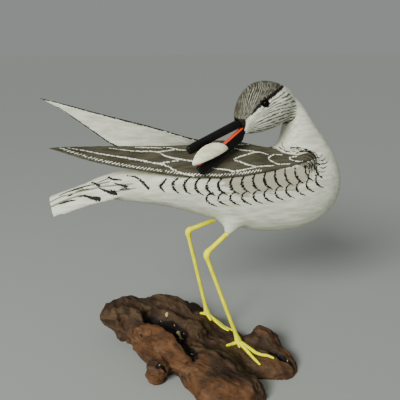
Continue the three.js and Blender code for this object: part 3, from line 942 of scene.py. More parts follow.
class Growth:
    """The Geometry Nodes trees."""

    def __init__(self) -> None:
        """Build them all."""
        self.rods = self._rods()
        self.relief = self._relief()
        self.splinters = self._splinters()

    @staticmethod
    def _rods() -> bpy.types.NodeTree:
        """Return the tree that sweeps a circle along chains of vertices, as wide as their girth."""
        outline = Group(
            "Rods",
            {"Geometry": (Kind.GEOMETRY, None), "Sides": (Kind.COUNT, 20), "Material": (Kind.MATERIAL, None)},
            {"Geometry": Kind.GEOMETRY},
            "GeometryNodeTree",
        )
        graph, inputs, out = outline.begin()
        chains = graph.add("GeometryNodeMeshToCurve", inputs["Geometry"]).outputs[0]
        circle = graph.add("GeometryNodeCurvePrimitiveCircle", inputs["Sides"])
        circle.inputs["Radius"].default_value = 1.0
        sweep = graph.add("GeometryNodeCurveToMesh", chains, circle.outputs["Curve"])
        graph.put(sweep.inputs["Scale"], graph.read("girth"))
        graph.put(sweep.inputs["Fill Caps"], True)
        Growth._close(graph, out, sweep.outputs["Mesh"], inputs["Material"])
        return graph.tree

    @staticmethod
    def _relief() -> bpy.types.NodeTree:
        """Return the tree that folds, dents and roughens wood along its grain where it is free to move."""
        outline = Group(
            "Burl relief",
            {
                "Geometry": (Kind.GEOMETRY, None),
                "Grain": (Kind.NUMBER, 0.0),
                "Folds": (Kind.NUMBER, 0.001),
                "Dents": (Kind.NUMBER, 0.001),
                "Fibres": (Kind.NUMBER, 0.0003),
                "Seed": (Kind.NUMBER, 0.0),
                "Material": (Kind.MATERIAL, None),
            },
            {"Geometry": Kind.GEOMETRY},
            "GeometryNodeTree",
        )
        graph, inputs, out = outline.begin()
        place = graph.add("GeometryNodeInputPosition").outputs[0]
        turned = graph.add("ShaderNodeVectorRotate", place, (0, 0, 0), None, rotation_type="Z_AXIS")
        graph.put(turned.inputs["Angle"], inputs["Grain"])
        shift = graph.add("ShaderNodeCombineXYZ", inputs["Seed"], inputs["Seed"], 0.0).outputs[0]
        shifted = graph.vector("ADD", turned.outputs[0], shift)
        stretched = graph.vector("MULTIPLY", shifted, (0.4, 1.0, 1.0))

        def noise(where: Socket, wave: float, detail: float) -> Socket:
            """Return noise about 0 whose waves have a length in millimetres."""
            return graph.minus(graph.noise(where, 1 / (wave * MM), detail), 0.5)

        soft = graph.step(graph.math("ABSOLUTE", noise(stretched, 17.0, 3.0)), 0.0, 0.2)
        folds = graph.times(graph.minus(soft, 0.6), inputs["Folds"])
        dents = graph.times(noise(shifted, 9.0, 3.0), inputs["Dents"])
        fibres = graph.times(noise(stretched, 2.6, 3.0), inputs["Fibres"])
        rise = graph.plus(graph.plus(folds, dents), fibres)
        rise = graph.times(rise, graph.read("free"))
        share = graph.math("DIVIDE", rise, inputs["Folds"])
        marked = graph.add("GeometryNodeStoreNamedAttribute", inputs["Geometry"], None, "height", share)
        marked.domain = "POINT"
        normal = graph.add("GeometryNodeInputNormal").outputs[0]
        offset = graph.add("ShaderNodeVectorMath", normal, operation="SCALE")
        graph.put(offset.inputs["Scale"], rise)
        moved = graph.add("GeometryNodeSetPosition", marked.outputs[0], None, None, offset.outputs[0])
        Growth._close(graph, out, moved.outputs[0], inputs["Material"])
        return graph.tree

    @staticmethod
    def _splinters() -> bpy.types.NodeTree:
        """Return the tree that strews flat splinters in the hollows of wood."""
        outline = Group(
            "Splinters",
            {
                "Geometry": (Kind.GEOMETRY, None),
                "Density": (Kind.NUMBER, 20000.0),
                "Size": (Kind.NUMBER, 0.0008),
                "Seed": (Kind.COUNT, 0),
                "Material": (Kind.MATERIAL, None),
            },
            {"Geometry": Kind.GEOMETRY},
            "GeometryNodeTree",
        )
        graph, inputs, out = outline.begin()
        strewn = graph.add("GeometryNodeDistributePointsOnFaces", inputs["Geometry"])
        deep = graph.step(graph.read("hollow"), 0.2, 0.8)
        graph.put(strewn.inputs["Density"], graph.times(deep, inputs["Density"]))
        graph.put(strewn.inputs["Seed"], inputs["Seed"])
        splinter = graph.add("GeometryNodeMeshIcoSphere", 1.0, 2).outputs["Mesh"]

        def chance(low: Spot, high: Spot, salt: int) -> Socket:
            """Return a random vector for each splinter."""
            node = graph.add("FunctionNodeRandomValue", low, high, data_type="FLOAT_VECTOR")
            graph.put(node.inputs["Seed"], graph.plus(inputs["Seed"], float(salt)))
            return node.outputs[0]

        form = chance((0.5, 0.4, 0.3), (2.2, 0.9, 0.5), 1)
        stretch = graph.add("ShaderNodeVectorMath", form, operation="SCALE")
        graph.put(stretch.inputs["Scale"], inputs["Size"])
        spin = graph.add("FunctionNodeRotateRotation", strewn.outputs["Rotation"], rotation_space="LOCAL")
        graph.put(spin.inputs[1], chance((-0.3, -0.3, 0.0), (0.3, 0.3, 6.3), 2))
        laid = graph.add("GeometryNodeInstanceOnPoints", strewn.outputs["Points"])
        graph.put(laid.inputs["Instance"], splinter)
        graph.put(laid.inputs["Rotation"], spin.outputs[0])
        graph.put(laid.inputs["Scale"], stretch.outputs[0])
        loose = graph.add("GeometryNodeRealizeInstances", laid.outputs[0]).outputs[0]
        pale = graph.add("GeometryNodeStoreNamedAttribute", loose, None, "chip", 1.0).outputs[0]
        both = graph.add("GeometryNodeJoinGeometry")
        graph.put(both.inputs[0], inputs["Geometry"])
        graph.put(both.inputs[0], pale)
        Growth._close(graph, out, both.outputs[0], inputs["Material"])
        return graph.tree

    @staticmethod
    def _close(graph: Graph, out: bpy.types.Node, geometry: Socket, material: Socket) -> None:
        """End a tree: make its geometry real and give it a material."""
        whole = graph.add("GeometryNodeRealizeInstances", geometry).outputs[0]
        painted = graph.add("GeometryNodeSetMaterial", whole, None, material).outputs[0]
        graph.put(out.inputs["Geometry"], painted)


@dataclass(frozen=True)
class Scallops:
    """A row of arcs along the flank. Their form turns from the first's into the last's."""

    tops: tuple[Place, ...]
    count: int
    forms: dict[float, tuple[Place, ...]]
    width: float

    def strokes(self) -> list[Stroke]:
        """Return the arcs."""
        line = spline(self.tops)
        stops, forms = list(self.forms), np.array(list(self.forms.values()), dtype=float)
        arcs = []
        for share in np.linspace(0, 1, self.count):
            x, z = line[round(share * (len(line) - 1))]
            form = [[np.interp(share, stops, axis) for axis in place] for place in forms.transpose(1, 2, 0)]
            arcs.append(Stroke(tuple(map(tuple, form)), self.width, 0.5, 0.3).shifted(x, z))
        return arcs


# The outlines of the broad areas of colour, seen from the side.
CROWN = (
    (30.0, 178.0), (33.1, 179.6), (37.5, 180.6), (41.6, 185.9), (44.6, 189.6), (48.9, 194.0), (53.3, 196.4),
    (58.3, 199.2), (63.4, 201.0), (68.0, 208.0), (45.0, 214.0), (25.0, 205.0), (24.0, 185.0),
)
CHEEK = (
    (38.0, 173.0), (39.6, 179.0), (42.2, 183.0), (46.2, 187.6), (51.0, 191.0), (54.7, 193.8), (60.0, 197.0),
    (65.0, 199.4), (69.3, 196.3), (75.0, 190.4), (75.7, 184.8), (74.9, 179.8), (72.3, 173.5), (66.0, 171.0),
    (56.0, 169.4), (44.0, 169.0),
)
SHOULDER = (
    (83.1, 145.2), (88.4, 142.8), (91.4, 145.5), (92.0, 149.6), (89.6, 153.9), (85.7, 156.0), (80.3, 154.6),
    (76.7, 153.9), (71.8, 154.8), (66.9, 156.0), (60.0, 160.5), (40.0, 170.0), (-96.0, 180.0),
)
MANTLE = ((-62.0, 152.0), (40.0, 146.0), (62.0, 146.4), (76.0, 147.4), *SHOULDER)
WING_FACE = ((-96.0, 130.0), (76.0, 138.0), *SHOULDER)
BILL_ROOT = (
    (24.0, 166.0), (24.0, 184.0), (33.0, 181.4), (37.3, 181.0), (37.9, 177.5), (37.6, 173.6), (36.0, 169.5),
)
FLANK_PATCH = (
    (20.0, 147.0), (21.0, 134.0), (34.0, 130.0), (56.0, 129.5), (76.0, 132.0), (88.0, 140.0), (90.0, 147.0),
)

CROWN_HAIRS = Hairs(
    root=(36.0, 172.0),
    guides=(
        ((27.0, 176.0), (27.2, 183.0), (28.2, 190.0), (31.5, 197.5), (36.5, 204.5)),
        ((32.5, 178.0), (32.7, 182.8), (33.2, 186.6), (34.4, 191.6), (37.0, 197.0), (40.0, 202.5)),
        ((35.7, 180.5), (35.7, 182.7), (37.1, 186.5), (38.1, 191.5), (39.8, 196.3), (43.0, 201.0),
         (45.6, 204.5)),
        ((38.4, 180.5), (40.7, 186.0), (42.0, 188.7), (44.3, 192.7), (46.4, 196.6), (49.1, 201.3),
         (50.6, 203.9)),
        ((46.5, 191.5), (47.9, 194.4), (50.3, 196.5), (52.8, 199.4), (55.1, 202.2), (57.0, 206.0)),
        ((53.0, 193.6), (56.2, 197.6), (58.0, 200.2), (60.2, 202.3), (63.0, 206.0)),
        ((62.0, 196.5), (65.5, 199.5), (69.0, 203.0), (72.0, 207.0)),
    ),
    rows=(5, 5, 5, 5, 5, 4),
)
CHEEK_HAIRS = Hairs(
    root=(36.0, 175.5),
    guides=(
        ((38.6, 179.0), (40.1, 180.4), (46.2, 188.1), (54.7, 194.5), (64.2, 200.0)),
        ((38.2, 176.2), (40.2, 177.2), (48.1, 182.8), (59.3, 187.0), (74.9, 188.0)),
        ((38.0, 172.2), (40.5, 171.8), (51.5, 171.2), (63.2, 172.6), (73.9, 176.0)),
    ),
    rows=(5, 6),
)

# The strokes: places (x, z), a width, and the shares of it that the start and the end have.
WING_LINES = (
    Stroke(((-76.9, 166), (-68.6, 164.2), (-58.2, 161.7), (-51.1, 160.3), (-40.4, 158.1), (-32.5, 156.4),
            (-25.3, 154.7), (-17.2, 152.9), (-11.6, 149.9), (-5.8, 147.4), (0.9, 145.6)), 1.1, 0.45, 0.9),
    Stroke(((-20.1, 153.9), (-13.1, 154.6), (-7.7, 154.8)), 1),
    Stroke(((-51.1, 163.8), (-41, 162.2), (-32.2, 161.1), (-20.9, 160.2), (-16.1, 158.1), (-11.8, 156.7),
            (-4.4, 155.2), (0.8, 154.3), (6.8, 152.8)), 1.1, 0.45, 0.9),
    Stroke(((-20.9, 160.2), (-13, 160.4), (-6.5, 161)), 1),
    Stroke(((-33.8, 163.1), (-24, 162.4), (-16.3, 161.8)), 1),
    Stroke(((-14.7, 162.1), (-10.2, 161.7), (-5.9, 160.6), (-0.6, 160.1)), 1),
    Stroke(((27.2, 161.3), (32.1, 160.2), (38.2, 158.8), (43.8, 158.1), (47.4, 157.2), (51.3, 156.7),
            (55.8, 155.2)), 1.1),
    Stroke(((47.4, 157.2), (40.7, 156.3), (34.2, 155.2), (30.6, 154), (34, 152.5), (37.5, 150.9),
            (41.6, 149.7), (46.4, 148.8), (52, 148.8), (58.2, 148.7)), 1.1),
    Stroke(((65.9, 154.6), (60.4, 155), (57.2, 154.2), (55.4, 153), (57.3, 151.3), (60.7, 149.6),
            (65.2, 149.1), (70.3, 149)), 0.95),
    Stroke(((76.1, 153.2), (72.7, 153.1), (70.7, 152.3), (73.2, 151), (76.4, 150.2), (80.4, 150.2)), 0.86),
    Stroke(((13.2, 149.9), (17.2, 149.0), (23, 148.2), (28.2, 147), (33.5, 147.1), (38.4, 147.8),
            (44.6, 148.4)), 1.1),
    Stroke(((33.6, 162.1), (39.1, 161.9), (44.2, 161.5)), 1),
    Stroke(((37.5, 163.3), (42.7, 162.9), (46.6, 162.0)), 1),
    Stroke(((10, 163.5), (18, 161.8), (26, 159.4)), 1),
)
SHOULDER_LIGHTS = (
    Stroke(((79.8, 155.0), (84.0, 155.2), (87.0, 153.4), (89.0, 151.2)), 0.8),
    Stroke(((80.0, 153.3), (83.2, 153.1), (86.0, 151.4), (87.6, 149.4)), 0.7),
    Stroke(((80.6, 151.2), (83.3, 150.2), (85.4, 148.4)), 0.7),
)
SHOULDER_HAIRS = (
    Stroke(((77.2, 155.3), (80.5, 156.1), (85.0, 156.0), (87.7, 154.8), (89.7, 152.7), (91.0, 150.1)), 1.5),
    Stroke(((74.0, 157.8), (78.3, 157.7), (83.0, 157.3), (87.3, 156.2), (89.5, 154.0), (91.2, 151.6)), 0.8),
    Stroke(((74.4, 158.8), (78.7, 158.9), (84.6, 158.0)), 0.7),
    Stroke(((78.6, 153.8), (82.1, 154.4), (85.4, 153.7), (87.9, 151.8), (89.3, 149.3), (89.8, 146.5)), 0.8),
    Stroke(((81.4, 152.6), (84.3, 151.7), (86.4, 149.8), (87.5, 147.4), (86.9, 144.6)), 0.8),
    Stroke(((81.8, 149.9), (84.4, 148.6), (85.4, 146.7), (84.8, 143.9)), 0.7),
    Stroke(((69.0, 157.6), (69.6, 156.4), (71.7, 156.5), (72.7, 155.6)), 1.2),
    Stroke(((68.9, 161.5), (68.4, 159.6), (68.8, 157.8)), 0.9),
    Stroke(((71.2, 161.0), (70.6, 159.0), (71.0, 157.2)), 0.8),
    Stroke(((74.2, 156.4), (76.4, 156.0)), 0.9),
    Stroke(((93.7, 149.8), (96.2, 149.4), (98.2, 150.8)), 1.0),
    Stroke(((94.7, 147.3), (97.7, 147.0), (100.3, 148.4)), 0.9),
    Stroke(((93.6, 144.9), (96.6, 144.2), (99.7, 145.2)), 0.9),
    Stroke(((92.5, 142.1), (95.7, 141.4), (98.4, 141.9)), 0.8),
    Stroke(((90.8, 139.8), (93.9, 138.8), (96.5, 139.0)), 0.7),
    Stroke(((91.4, 151.8), (94.2, 152.2), (96.0, 154.0)), 0.8),
    Stroke(((90.8, 148.6), (93.2, 146.4)), 0.8),
    Stroke(((89.6, 144.8), (92.0, 143.0)), 0.8),
    Stroke(((88.8, 140.8), (90.8, 138.1)), 0.7),
    Stroke(((83.2, 146.8), (84.6, 144.6), (84.9, 142.0), (84.2, 139.6)), 0.7),
    Stroke(((85.2, 148.2), (86.6, 145.8), (87.0, 142.8), (86.6, 140.2)), 0.8),
    Stroke(((87.0, 149.0), (88.6, 146.4), (89.2, 143.4), (89.0, 140.8)), 0.7),
    Stroke(((80.9, 146.2), (82.3, 144.0), (82.8, 141.8)), 0.6),
    Stroke(((88.8, 150.6), (90.6, 147.6), (91.2, 144.6)), 0.8),
    Stroke(((92.4, 147.9), (94.9, 146.9), (96.6, 147.8)), 0.7),
    Stroke(((86.4, 156.9), (89.2, 155.8), (91.6, 153.4), (92.6, 150.8)), 0.7),
)
RUMP_DASH = Stroke(
    ((-40.2, 145.0), (-36.0, 144.6), (-33.0, 142.9), (-30.5, 140.5), (-28.4, 138.0)), 1.9, 0.6, 1.0
)
# A dark stroke under the jaw, where the head overlaps the neck: painted shadow.
CREASE_SHADOW = Stroke(((60.0, 170.0), (66.1, 172.6), (70.5, 174.6), (73.3, 177.3), (75.4, 181.0)), 1.6, 0.5, 0.3)
TAIL_DASHES = (
    Stroke(((-72.9, 133.0), (-70.0, 133.6), (-67.2, 133.3), (-64.6, 132.6), (-61.6, 132.0)), 2.2, 0.3, 1.6),
    Stroke(((-59.0, 137.8), (-57.0, 137.2), (-55.6, 136.3), (-53.2, 135.7), (-50.6, 135.2)), 2.0, 0.4, 1.9),
    Stroke(((-63.2, 140.6), (-61.4, 140.4), (-60.0, 139.8), (-59.2, 139.3)), 1.9, 0.7, 1.0),
    Stroke(((-52.1, 143.8), (-50.8, 143.3), (-48.6, 143.1), (-45.2, 142.9)), 1.7, 1.1, 0.7),
    Stroke(((-49.2, 141.1), (-46.6, 140.2), (-44.0, 139.5), (-41.9, 139.2)), 1.5, 0.6, 1.1),
    Stroke(((-46.0, 137.1), (-43.6, 137.4)), 0.9, 0.8, 0.8),
    Stroke(((-42.4, 137.5), (-39.6, 137.4)), 0.9, 0.8, 0.8),
    Stroke(((-79.0, 133.5), (-77.0, 134.1)), 1.2, 0.9, 0.7),
    Stroke(((-84.6, 134.3), (-82.6, 135.2)), 1.3, 0.9, 0.7),
    Stroke(((-73.4, 135.8), (-70.2, 136.6), (-66.4, 137.3)), 1.1, 0.7, 0.9),
    Stroke(((-84.6, 133.3), (-80.4, 134.9), (-76.4, 136.1), (-72.6, 137.1), (-69.4, 138.0)), 1.5, 0.5, 1.0),
    Stroke(((-69.4, 138.0), (-65.8, 139.1), (-63.4, 140.2)), 0.9, 0.8, 0.8),
    Stroke(((-60.2, 140.9), (-56.6, 142.1), (-52.6, 143.4)), 0.9, 0.6, 1.0),
    Stroke(((-84.2, 129.4), (-81.3, 130.2), (-78.0, 131.0), (-75.6, 131.2)), 1.5, 0.8, 0.6),
)
# Soft strokes along the tail's carved grooves: the shade in them, painted.
TAIL_GROOVE_SHADES = (
    Stroke(((-91.2, 127.2), (-86.4, 129.2), (-81.3, 131.1), (-76.5, 132.6), (-72.0, 133.6)), 1.7, 0.8, 0.8),
    Stroke(((-90.6, 130.0), (-85.0, 132.4), (-77.3, 134.4), (-70.3, 136.2), (-64.2, 137.3),
            (-58.1, 138.8)), 1.5, 0.8, 0.9),
    Stroke(((-87.0, 133.0), (-82.0, 134.8), (-74.4, 136.9), (-66.6, 138.7), (-60.5, 140.2),
            (-53.1, 141.6)), 1.4, 0.7, 0.9),
    Stroke(((-57.7, 138.8), (-52.0, 139.6), (-45.3, 140.2), (-38.0, 140.6)), 1.6, 0.8, 0.5),
    Stroke(((-50.7, 135.4), (-44.0, 136.7), (-36.0, 137.7)), 1.2, 0.7, 0.4),
)
EYE_STRIPES = (
    Stroke(((40.6, 184.3), (42.0, 186.2), (43.8, 188.4), (46.2, 190.5), (49.6, 192.4)), 2.8, 0.35, 1.1),
    Stroke(((49.0, 192.4), (51.7, 194.4), (54.8, 196.4), (59.0, 198.8), (65.0, 201.2)), 3.0, 1.0, 0.75),
)
FLANK = (
    Scallops(
        tops=((-16.3, 142.8), (-1.4, 143.2), (38.6, 143.8), (61.3, 145.2), (79.9, 146.4), (89.5, 147.4)),
        count=15,
        forms={
            0.0: ((0, 0), (-1.9, -1.8), (-3.8, -3.8), (-2.7, -6.2), (-1.2, -8)),
            0.07: ((0, 0), (-2.4, -1.8), (-3.2, -4.6), (-1.9, -7.4), (0.6, -9.4)),
            0.15: ((0, 0), (-2.6, -2.3), (-3.6, -5.2), (-2.2, -8.6), (0.8, -10.8)),
            0.3: ((0, 0), (-2.8, -3.4), (-3.6, -6.3), (-2.0, -9.7), (2.4, -12.8)),
            1.0: ((0, 0), (0.4, -3), (1.4, -5.4), (3, -8), (5.8, -10)),
        },
        width=2.4,
    ),
    Scallops(
        tops=((14.3, 132.7), (44.2, 132.9), (66, 134.8), (82.9, 137.7), (91, 140)),
        count=11,
        forms={
            0.0: ((0, 0), (-3.4, -1.6), (-3.9, -4.6), (-1.8, -7.3), (3.2, -9.9)),
            1.0: ((0, 0), (-1.2, -2.8), (-0.5, -5.6), (2.4, -8.2), (5.8, -9.6)),
        },
        width=2.0,
    ),
)


@dataclass
class Body:
    """The carved trunk, tail, neck and head."""

    voxel: float = 0.72
    rounds: int = 130
    tail_root: Span = (-48.0, -34.0)
    fade: Span = (72.0, 88.0)
    # Facings, as the size of the normal's y, over which painted shade gives way to the brush tone.
    side: Span = (0.05, 0.6)
    brow: Span = (0.72, 0.92)
    seat_edge: Span = (0.8, 5.0)
    socket_edge: Span = (0.6, 3.0)
    tail_give: float = 0.08

    def build(self, nodes: Nodes, finish: bpy.types.Material) -> None:
        """Build and paint the piece.

        Args:
            nodes: The frame's nodes.
            finish: Its material.
        """
        skin = Skin("Body", nodes["body"], self.voxel)
        skin.relax(self.rounds, self._give(skin.points, nodes))
        side_view = skin.points[:, [0, 2]]
        areas = {"crown": CROWN, "cheek": CHEEK, "patch": FLANK_PATCH, "wash": MANTLE, "root": BILL_ROOT}
        for name, area in areas.items():
            skin.mark(name, depth_in_outline(side_view, area))
        skin.mark("fade", smooth_step(*self.fade, side_view[:, 0]))
        # How squarely each vertex faces sideways; the white paint lays painted shade on the rest.
        skin.mark("side", smooth_step(*self.side, np.abs(skin.normals[:, 1])))
        skin.mark("brow", smooth_step(*self.brow, -skin.normals[:, 0]))
        CROWN_HAIRS.mark(skin, "crown")
        CHEEK_HAIRS.mark(skin, "cheek")
        brush = Brush(skin)
        dark = [*SHOULDER_HAIRS, CREASE_SHADOW, RUMP_DASH]
        for row in FLANK:
            dark += row.strokes()
        brush.lay("ink", dark)
        brush.lay("stripe", (*EYE_STRIPES, *TAIL_DASHES))
        brush.lay("groove_shade", TAIL_GROOVE_SHADES)
        brush.lay("pale", SHOULDER_LIGHTS)
        skin.finish("body", "white_paint", finish)

    def _give(self, points: np.ndarray, nodes: Nodes) -> np.ndarray:
        """Return how freely each vertex is smoothed: hardly on the tail and where other pieces are let in."""
        give = smooth_step(*self.tail_root, points[:, 0]) * (1 - self.tail_give) + self.tail_give
        edges = {
            self.seat_edge: ("right_wing", "left_wing"),
            self.socket_edge: ("upper_bill", "lower_bill", "left_eye", "right_eye", "right_leg", "left_leg"),
        }
        for (low, high), names in edges.items():
            for name in names:
                give *= clear_of(points, nodes[name], low, high)
        return give


class Board:
    """A thin board's outline, seen from the side."""

    def __init__(self, points: np.ndarray, stops: int = 80, reach: float = 0.9, margin: float = 1.0) -> None:
        """Measure the lower and the upper edge.

        Args:
            points: Points all over the board.
            stops: At how many places it is measured.
            reach: How far before and behind a place the points count.
            margin: How far from the board's ends the first and the last place lie.
        """
        self.start, self.end = points[:, 0].min() + margin, points[:, 0].max() - margin
        self.stops = np.linspace(self.start, self.end, stops)
        near = [points[np.abs(points[:, 0] - x) < reach, 2] for x in self.stops]
        self.low = np.array([heights.min() for heights in near])
        self.high = np.array([heights.max() for heights in near])

    def edge(self, inset: float, low: bool = True, stop: float = 1.0) -> tuple[Place, ...]:
        """Return places along an edge, up to a share of the length, that lie in from it."""
        height = self.low + inset if low else self.high - inset
        last = max(2, round(stop * len(self.stops)))
        return tuple(zip(self.stops[:last], height[:last]))[::3]

    def carry(self, places: np.ndarray, other: Board) -> np.ndarray:
        """Return where places (x, z) on this board lie on another one."""
        low, high = (np.interp(places[:, 0], self.stops, edge) for edge in (self.low, self.high))
        share = (places[:, 1] - low) / np.maximum(high - low, 0.2)
        run = (places[:, 0] - self.start) / (self.end - self.start)
        along = other.start + run * (other.end - other.start)
        bottom, top = (np.interp(along, other.stops, edge) for edge in (other.low, other.high))
        return np.column_stack((along, bottom + (top - bottom) * share))

    def fit(self, stroke: Stroke, source: Board) -> Stroke:
        """Return a stroke that lies on this board as it does on another one."""
        places = source.carry(np.array(stroke.places, dtype=float), self)
        return Stroke(tuple(map(tuple, places)), stroke.width, stroke.start, stroke.end)


@dataclass
class Wings:
    """Two thin boards, taupe on their outer faces and white on the inner ones."""

    voxel: float = 0.48
    rounds: int = 30
    rim_inset: float = 2.4
    rim_width: float = 1.6
    rim_end: float = 0.76
    line_insets: Span = (1.3, 0.6)
    line_width: float = 1.3
    outer: float = -0.15
    deepest: float = 6.0
    edge: Span = (0.85, 0.55)

    def build(self, nodes: Nodes, finish: bpy.types.Material) -> None:
        """Build and paint both pieces.

        Args:
            nodes: The frame's nodes.
            finish: Their material.
        """
        source = None
        for side in Side:
            node = side.name.lower() + "_wing"
            skin = Skin(node.capitalize(), nodes[node], self.voxel)
            skin.relax(self.rounds, 0.6)
            board = Board(skin.points)
            source = source or board
            self._paint(skin, side, board, source)
            skin.finish(node, "taupe_paint", finish)

    def _paint(self, skin: Skin, side: Side, board: Board, source: Board) -> None:
        """Mark where the paints lie on one board, with the strokes fitted from another."""
        outward = side.value * skin.normals[:, 1]
        depth = depth_in_outline(board.carry(skin.points[:, [0, 2]], source), WING_FACE)
        skin.mark("wash", np.where(outward > self.outer, np.minimum(depth, self.deepest), -self.deepest))
        edge = smooth_step(*self.edge, np.abs(outward)) if side is Side.LEFT else np.zeros(len(depth))
        skin.mark("edge", edge)
        brush = Brush(skin)
        rim = Stroke(board.edge(self.rim_inset, stop=self.rim_end), self.rim_width, 1, 1)
        brush.lay("rim", [rim], [side])
        brush.lay("pale", [board.fit(line, source) for line in WING_LINES], [side])
        if side is Side.RIGHT:
            brush.lay("ink", SHOULDER_HAIRS, [side])
        else:
            low, high = self.line_insets
            edges = (board.edge(low)[2:], board.edge(high, low=False))
            lines = [Stroke(edge, self.line_width, 0.5, 1.0) for edge in edges]
            brush.lay("ink", lines, [Side.RIGHT])


@dataclass
class Bill:
    """Half of the bill, which runs from its root to its tip, seen from the side.

    The sign of inner tells on which side of that line the other half lies, and facing how squarely a face
    looks that way where its red paint starts and where it is full. The outer side swells, the inner one
    droops and the tip stretches by so many millimetres.
    """

    node: str
    root: Place
    tip: Place
    inner: float
    facing: Span
    swell: float = 0.0
    droop: float = 0.0
    stretch: float = 0.0
    voxel: float = 0.3

    def build(self, nodes: Nodes, finish: bpy.types.Material) -> None:
        """Build and paint the piece."""
        skin = Skin(self.node.capitalize(), nodes[self.node], self.voxel)
        skin.relax(12, 0.7)
        along = np.subtract(self.tip, self.root)
        along /= np.linalg.norm(along)
        inwards = self.inner * np.array((along[1], -along[0]))
        facing = skin.normals[:, [0, 2]] @ inwards
        short = (skin.points[:, [0, 2]] - self.tip) @ -along
        skin.mark("inner", smooth_step(*self.facing, facing) * smooth_step(1.5, 3.0, short))
        long = (skin.points[:, [0, 2]] - self.root) @ along
        outer = smooth_step(0.5, -0.5, facing) * smooth_step(0.5, 7.0, long) * self.swell
        inner = smooth_step(-0.5, 0.5, facing) * smooth_step(20.0, 3.0, short) * self.droop
        forward = smooth_step(12, 1, short) * self.stretch
        moves = np.outer(inner - outer, inwards) + np.outer(forward, along)
        skin.points = skin.points + np.stack((moves[:, 0], np.zeros(len(moves)), moves[:, 1]), axis=1)
        skin.finish(self.node, "black_paint", finish)


@dataclass
class Feather:
    """The small feather in the bill."""

    voxel: float = 0.3

    def build(self, nodes: Nodes, finish: bpy.types.Material) -> None:
        """Build and paint the piece."""
        skin = Skin("Preened_feather", nodes["preened_feather"], self.voxel)
        skin.relax(30, 0.8)
        skin.finish("preened_feather", "cream_paint", finish)


@dataclass
class Eye:
    """A glass bead."""

    node: str
    fineness: int = 4

    def build(self, finish: bpy.types.Material) -> None:
        """Build the piece."""
        low, high = (Vector(corner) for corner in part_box(self.node))
        mesh = bpy.data.meshes.new(self.node.capitalize())
        bead = bmesh.new()
        bmesh.ops.create_icosphere(bead, subdivisions=self.fineness, radius=max(high - low) / 2)
        bmesh.ops.translate(bead, verts=bead.verts, vec=(low + high) / 2)
        bead.to_mesh(mesh)
        bead.free()
        piece = bpy.data.objects.new(mesh.name, mesh)
        bpy.context.collection.objects.link(piece)
        hand_over(piece, self.node, finish)


@dataclass(frozen=True)
class Vein:
    """A soft band on the driftwood about a chain of spots."""

    spots: tuple[Spot, ...]
    reach: float
    depth: float = 0.0
    weight: float = 1.0
    core: ClassVar[float] = 0.35
    height_share: ClassVar[float] = 0.5

    def near(self, points: np.ndarray) -> np.ndarray:
        """Return the weight along the chain, falling to 0 at its reach. Height counts less than the rest."""
        scale = np.array((1.0, 1.0, self.height_share))
        spots = self.spots if len(self.spots) > 1 else (*self.spots, np.add(self.spots[0], 0.1))
        far = distance_to_chain(points * scale, np.asarray(spots, dtype=float) * scale)
        return self.weight * (1 - smooth_step(self.core * self.reach, self.reach, far))


@dataclass(frozen=True)
class Slab:
    """A flat swelling of the driftwood, with its outline seen from above and the height that it starts at."""

    outline: tuple[Place, ...]
    floor: float
    depth: float
    edge: float = 1.6

    def near(self, points: np.ndarray) -> np.ndarray:
        """Return 1 on the swelling, and 0 away from it."""
        inside = smooth_step(-self.edge / 2, self.edge / 2, depth_in_outline(points[:, :2], self.outline))
        return inside * smooth_step(self.floor, self.floor + 4, points[:, 2])


# The forms of the driftwood. A depth above 0 goes into the wood, and one below 0 stands out of it.
LOBES = (
    Slab(((-43, 12), (-36, 4), (-29, 1), (-23, 2), (-20, -9), (-14, -18), (-11, -26), (-7, -32), (-3, -37),
          (-7, -41), (-13, -41), (-19, -36), (-26, -38), (-36, -24), (-42, -8), (-47, 10)), 3.0, -1.9),
    Vein(((-3, -44, 16), (-6, -49, 13), (-8, -56, 8), (-5, -63, 7), (18, -76, 8)), 15.0, 0.0, 0.75),
    Vein(((50, -47, 6), (59, -53, 5), (68, -50, 5)), 12.0, 0.0, 0.5),
    Vein(((-34, -36, 9), (-27, -38, 5)), 9.0, 0.0, 0.7),
    Vein(((-54, 18, 21), (-50, 16, 22), (-46, 14, 20)), 8.0, 0.0, 0.35),
    Vein(((66, -36, 12), (70, -42, 9)), 5.0, 0.0, 0.5),
)
HOLLOWS = (
    Vein(((-24, 12, 26), (-17, 8, 25), (-11, 0, 24), (-8, -10, 23)), 10.0, 5.0),
    Vein(((-8, -10, 23), (-6, -20, 24), (-3, -30, 21)), 6.8, 3.6),
    Vein(((-3, -37, 18),), 3.0, 1.8),
    Vein(((-28, -35, 15), (-24, -36, 12)), 1.7, 1.0),
    Vein(((56, -39, 12), (61, -42, 12)), 4.8, 3.4),
    Vein(((60, -43, 11), (65, -46, 10), (70, -50, 7)), 2.8, 2.0),
    Vein(((-35, -5, 21),), 1.3, 0.6),
)
GROOVES = (
    Vein(((-42, 26, 35), (-36, 24, 33), (-31, 21, 30), (-27, 19, 28)), 4.0, 2.4),
    Vein(((-4, -39, 17), (-9, -40, 12), (-14, -39, 9)), 2.4, 1.6),
    Vein(((-48, 27, 34), (-49, 20, 30), (-46, 12, 22)), 3.5, 1.8),
    Vein(((18, -41, 20), (10, -30, 21), (13, -14, 22), (24, -6, 22)), 4.0, 2.2),
    Vein(((-30, -6, 21), (-24, -18, 20), (-18, -30, 17)), 4.5, 1.2),
    Vein(((-38, -4, 18), (-32, -18, 17), (-28, -28, 15)), 4.0, 1.0),
    Vein(((-14, 30, 28), (-2, 16, 26), (8, 4, 24)), 5.0, 1.6),
)
CHIPS = (
    Vein(((-6.6, -3.5, 20), (-5.6, -8, 19), (-6, -14, 20)), 2.7, -3.2),
    Vein(((-12, 15, 24),), 1.8, -0.6),
    Vein(((-6, -31, 21),), 1.3, -0.5),
    Vein(((-14, 2, 23),), 1.0, -0.8),
)
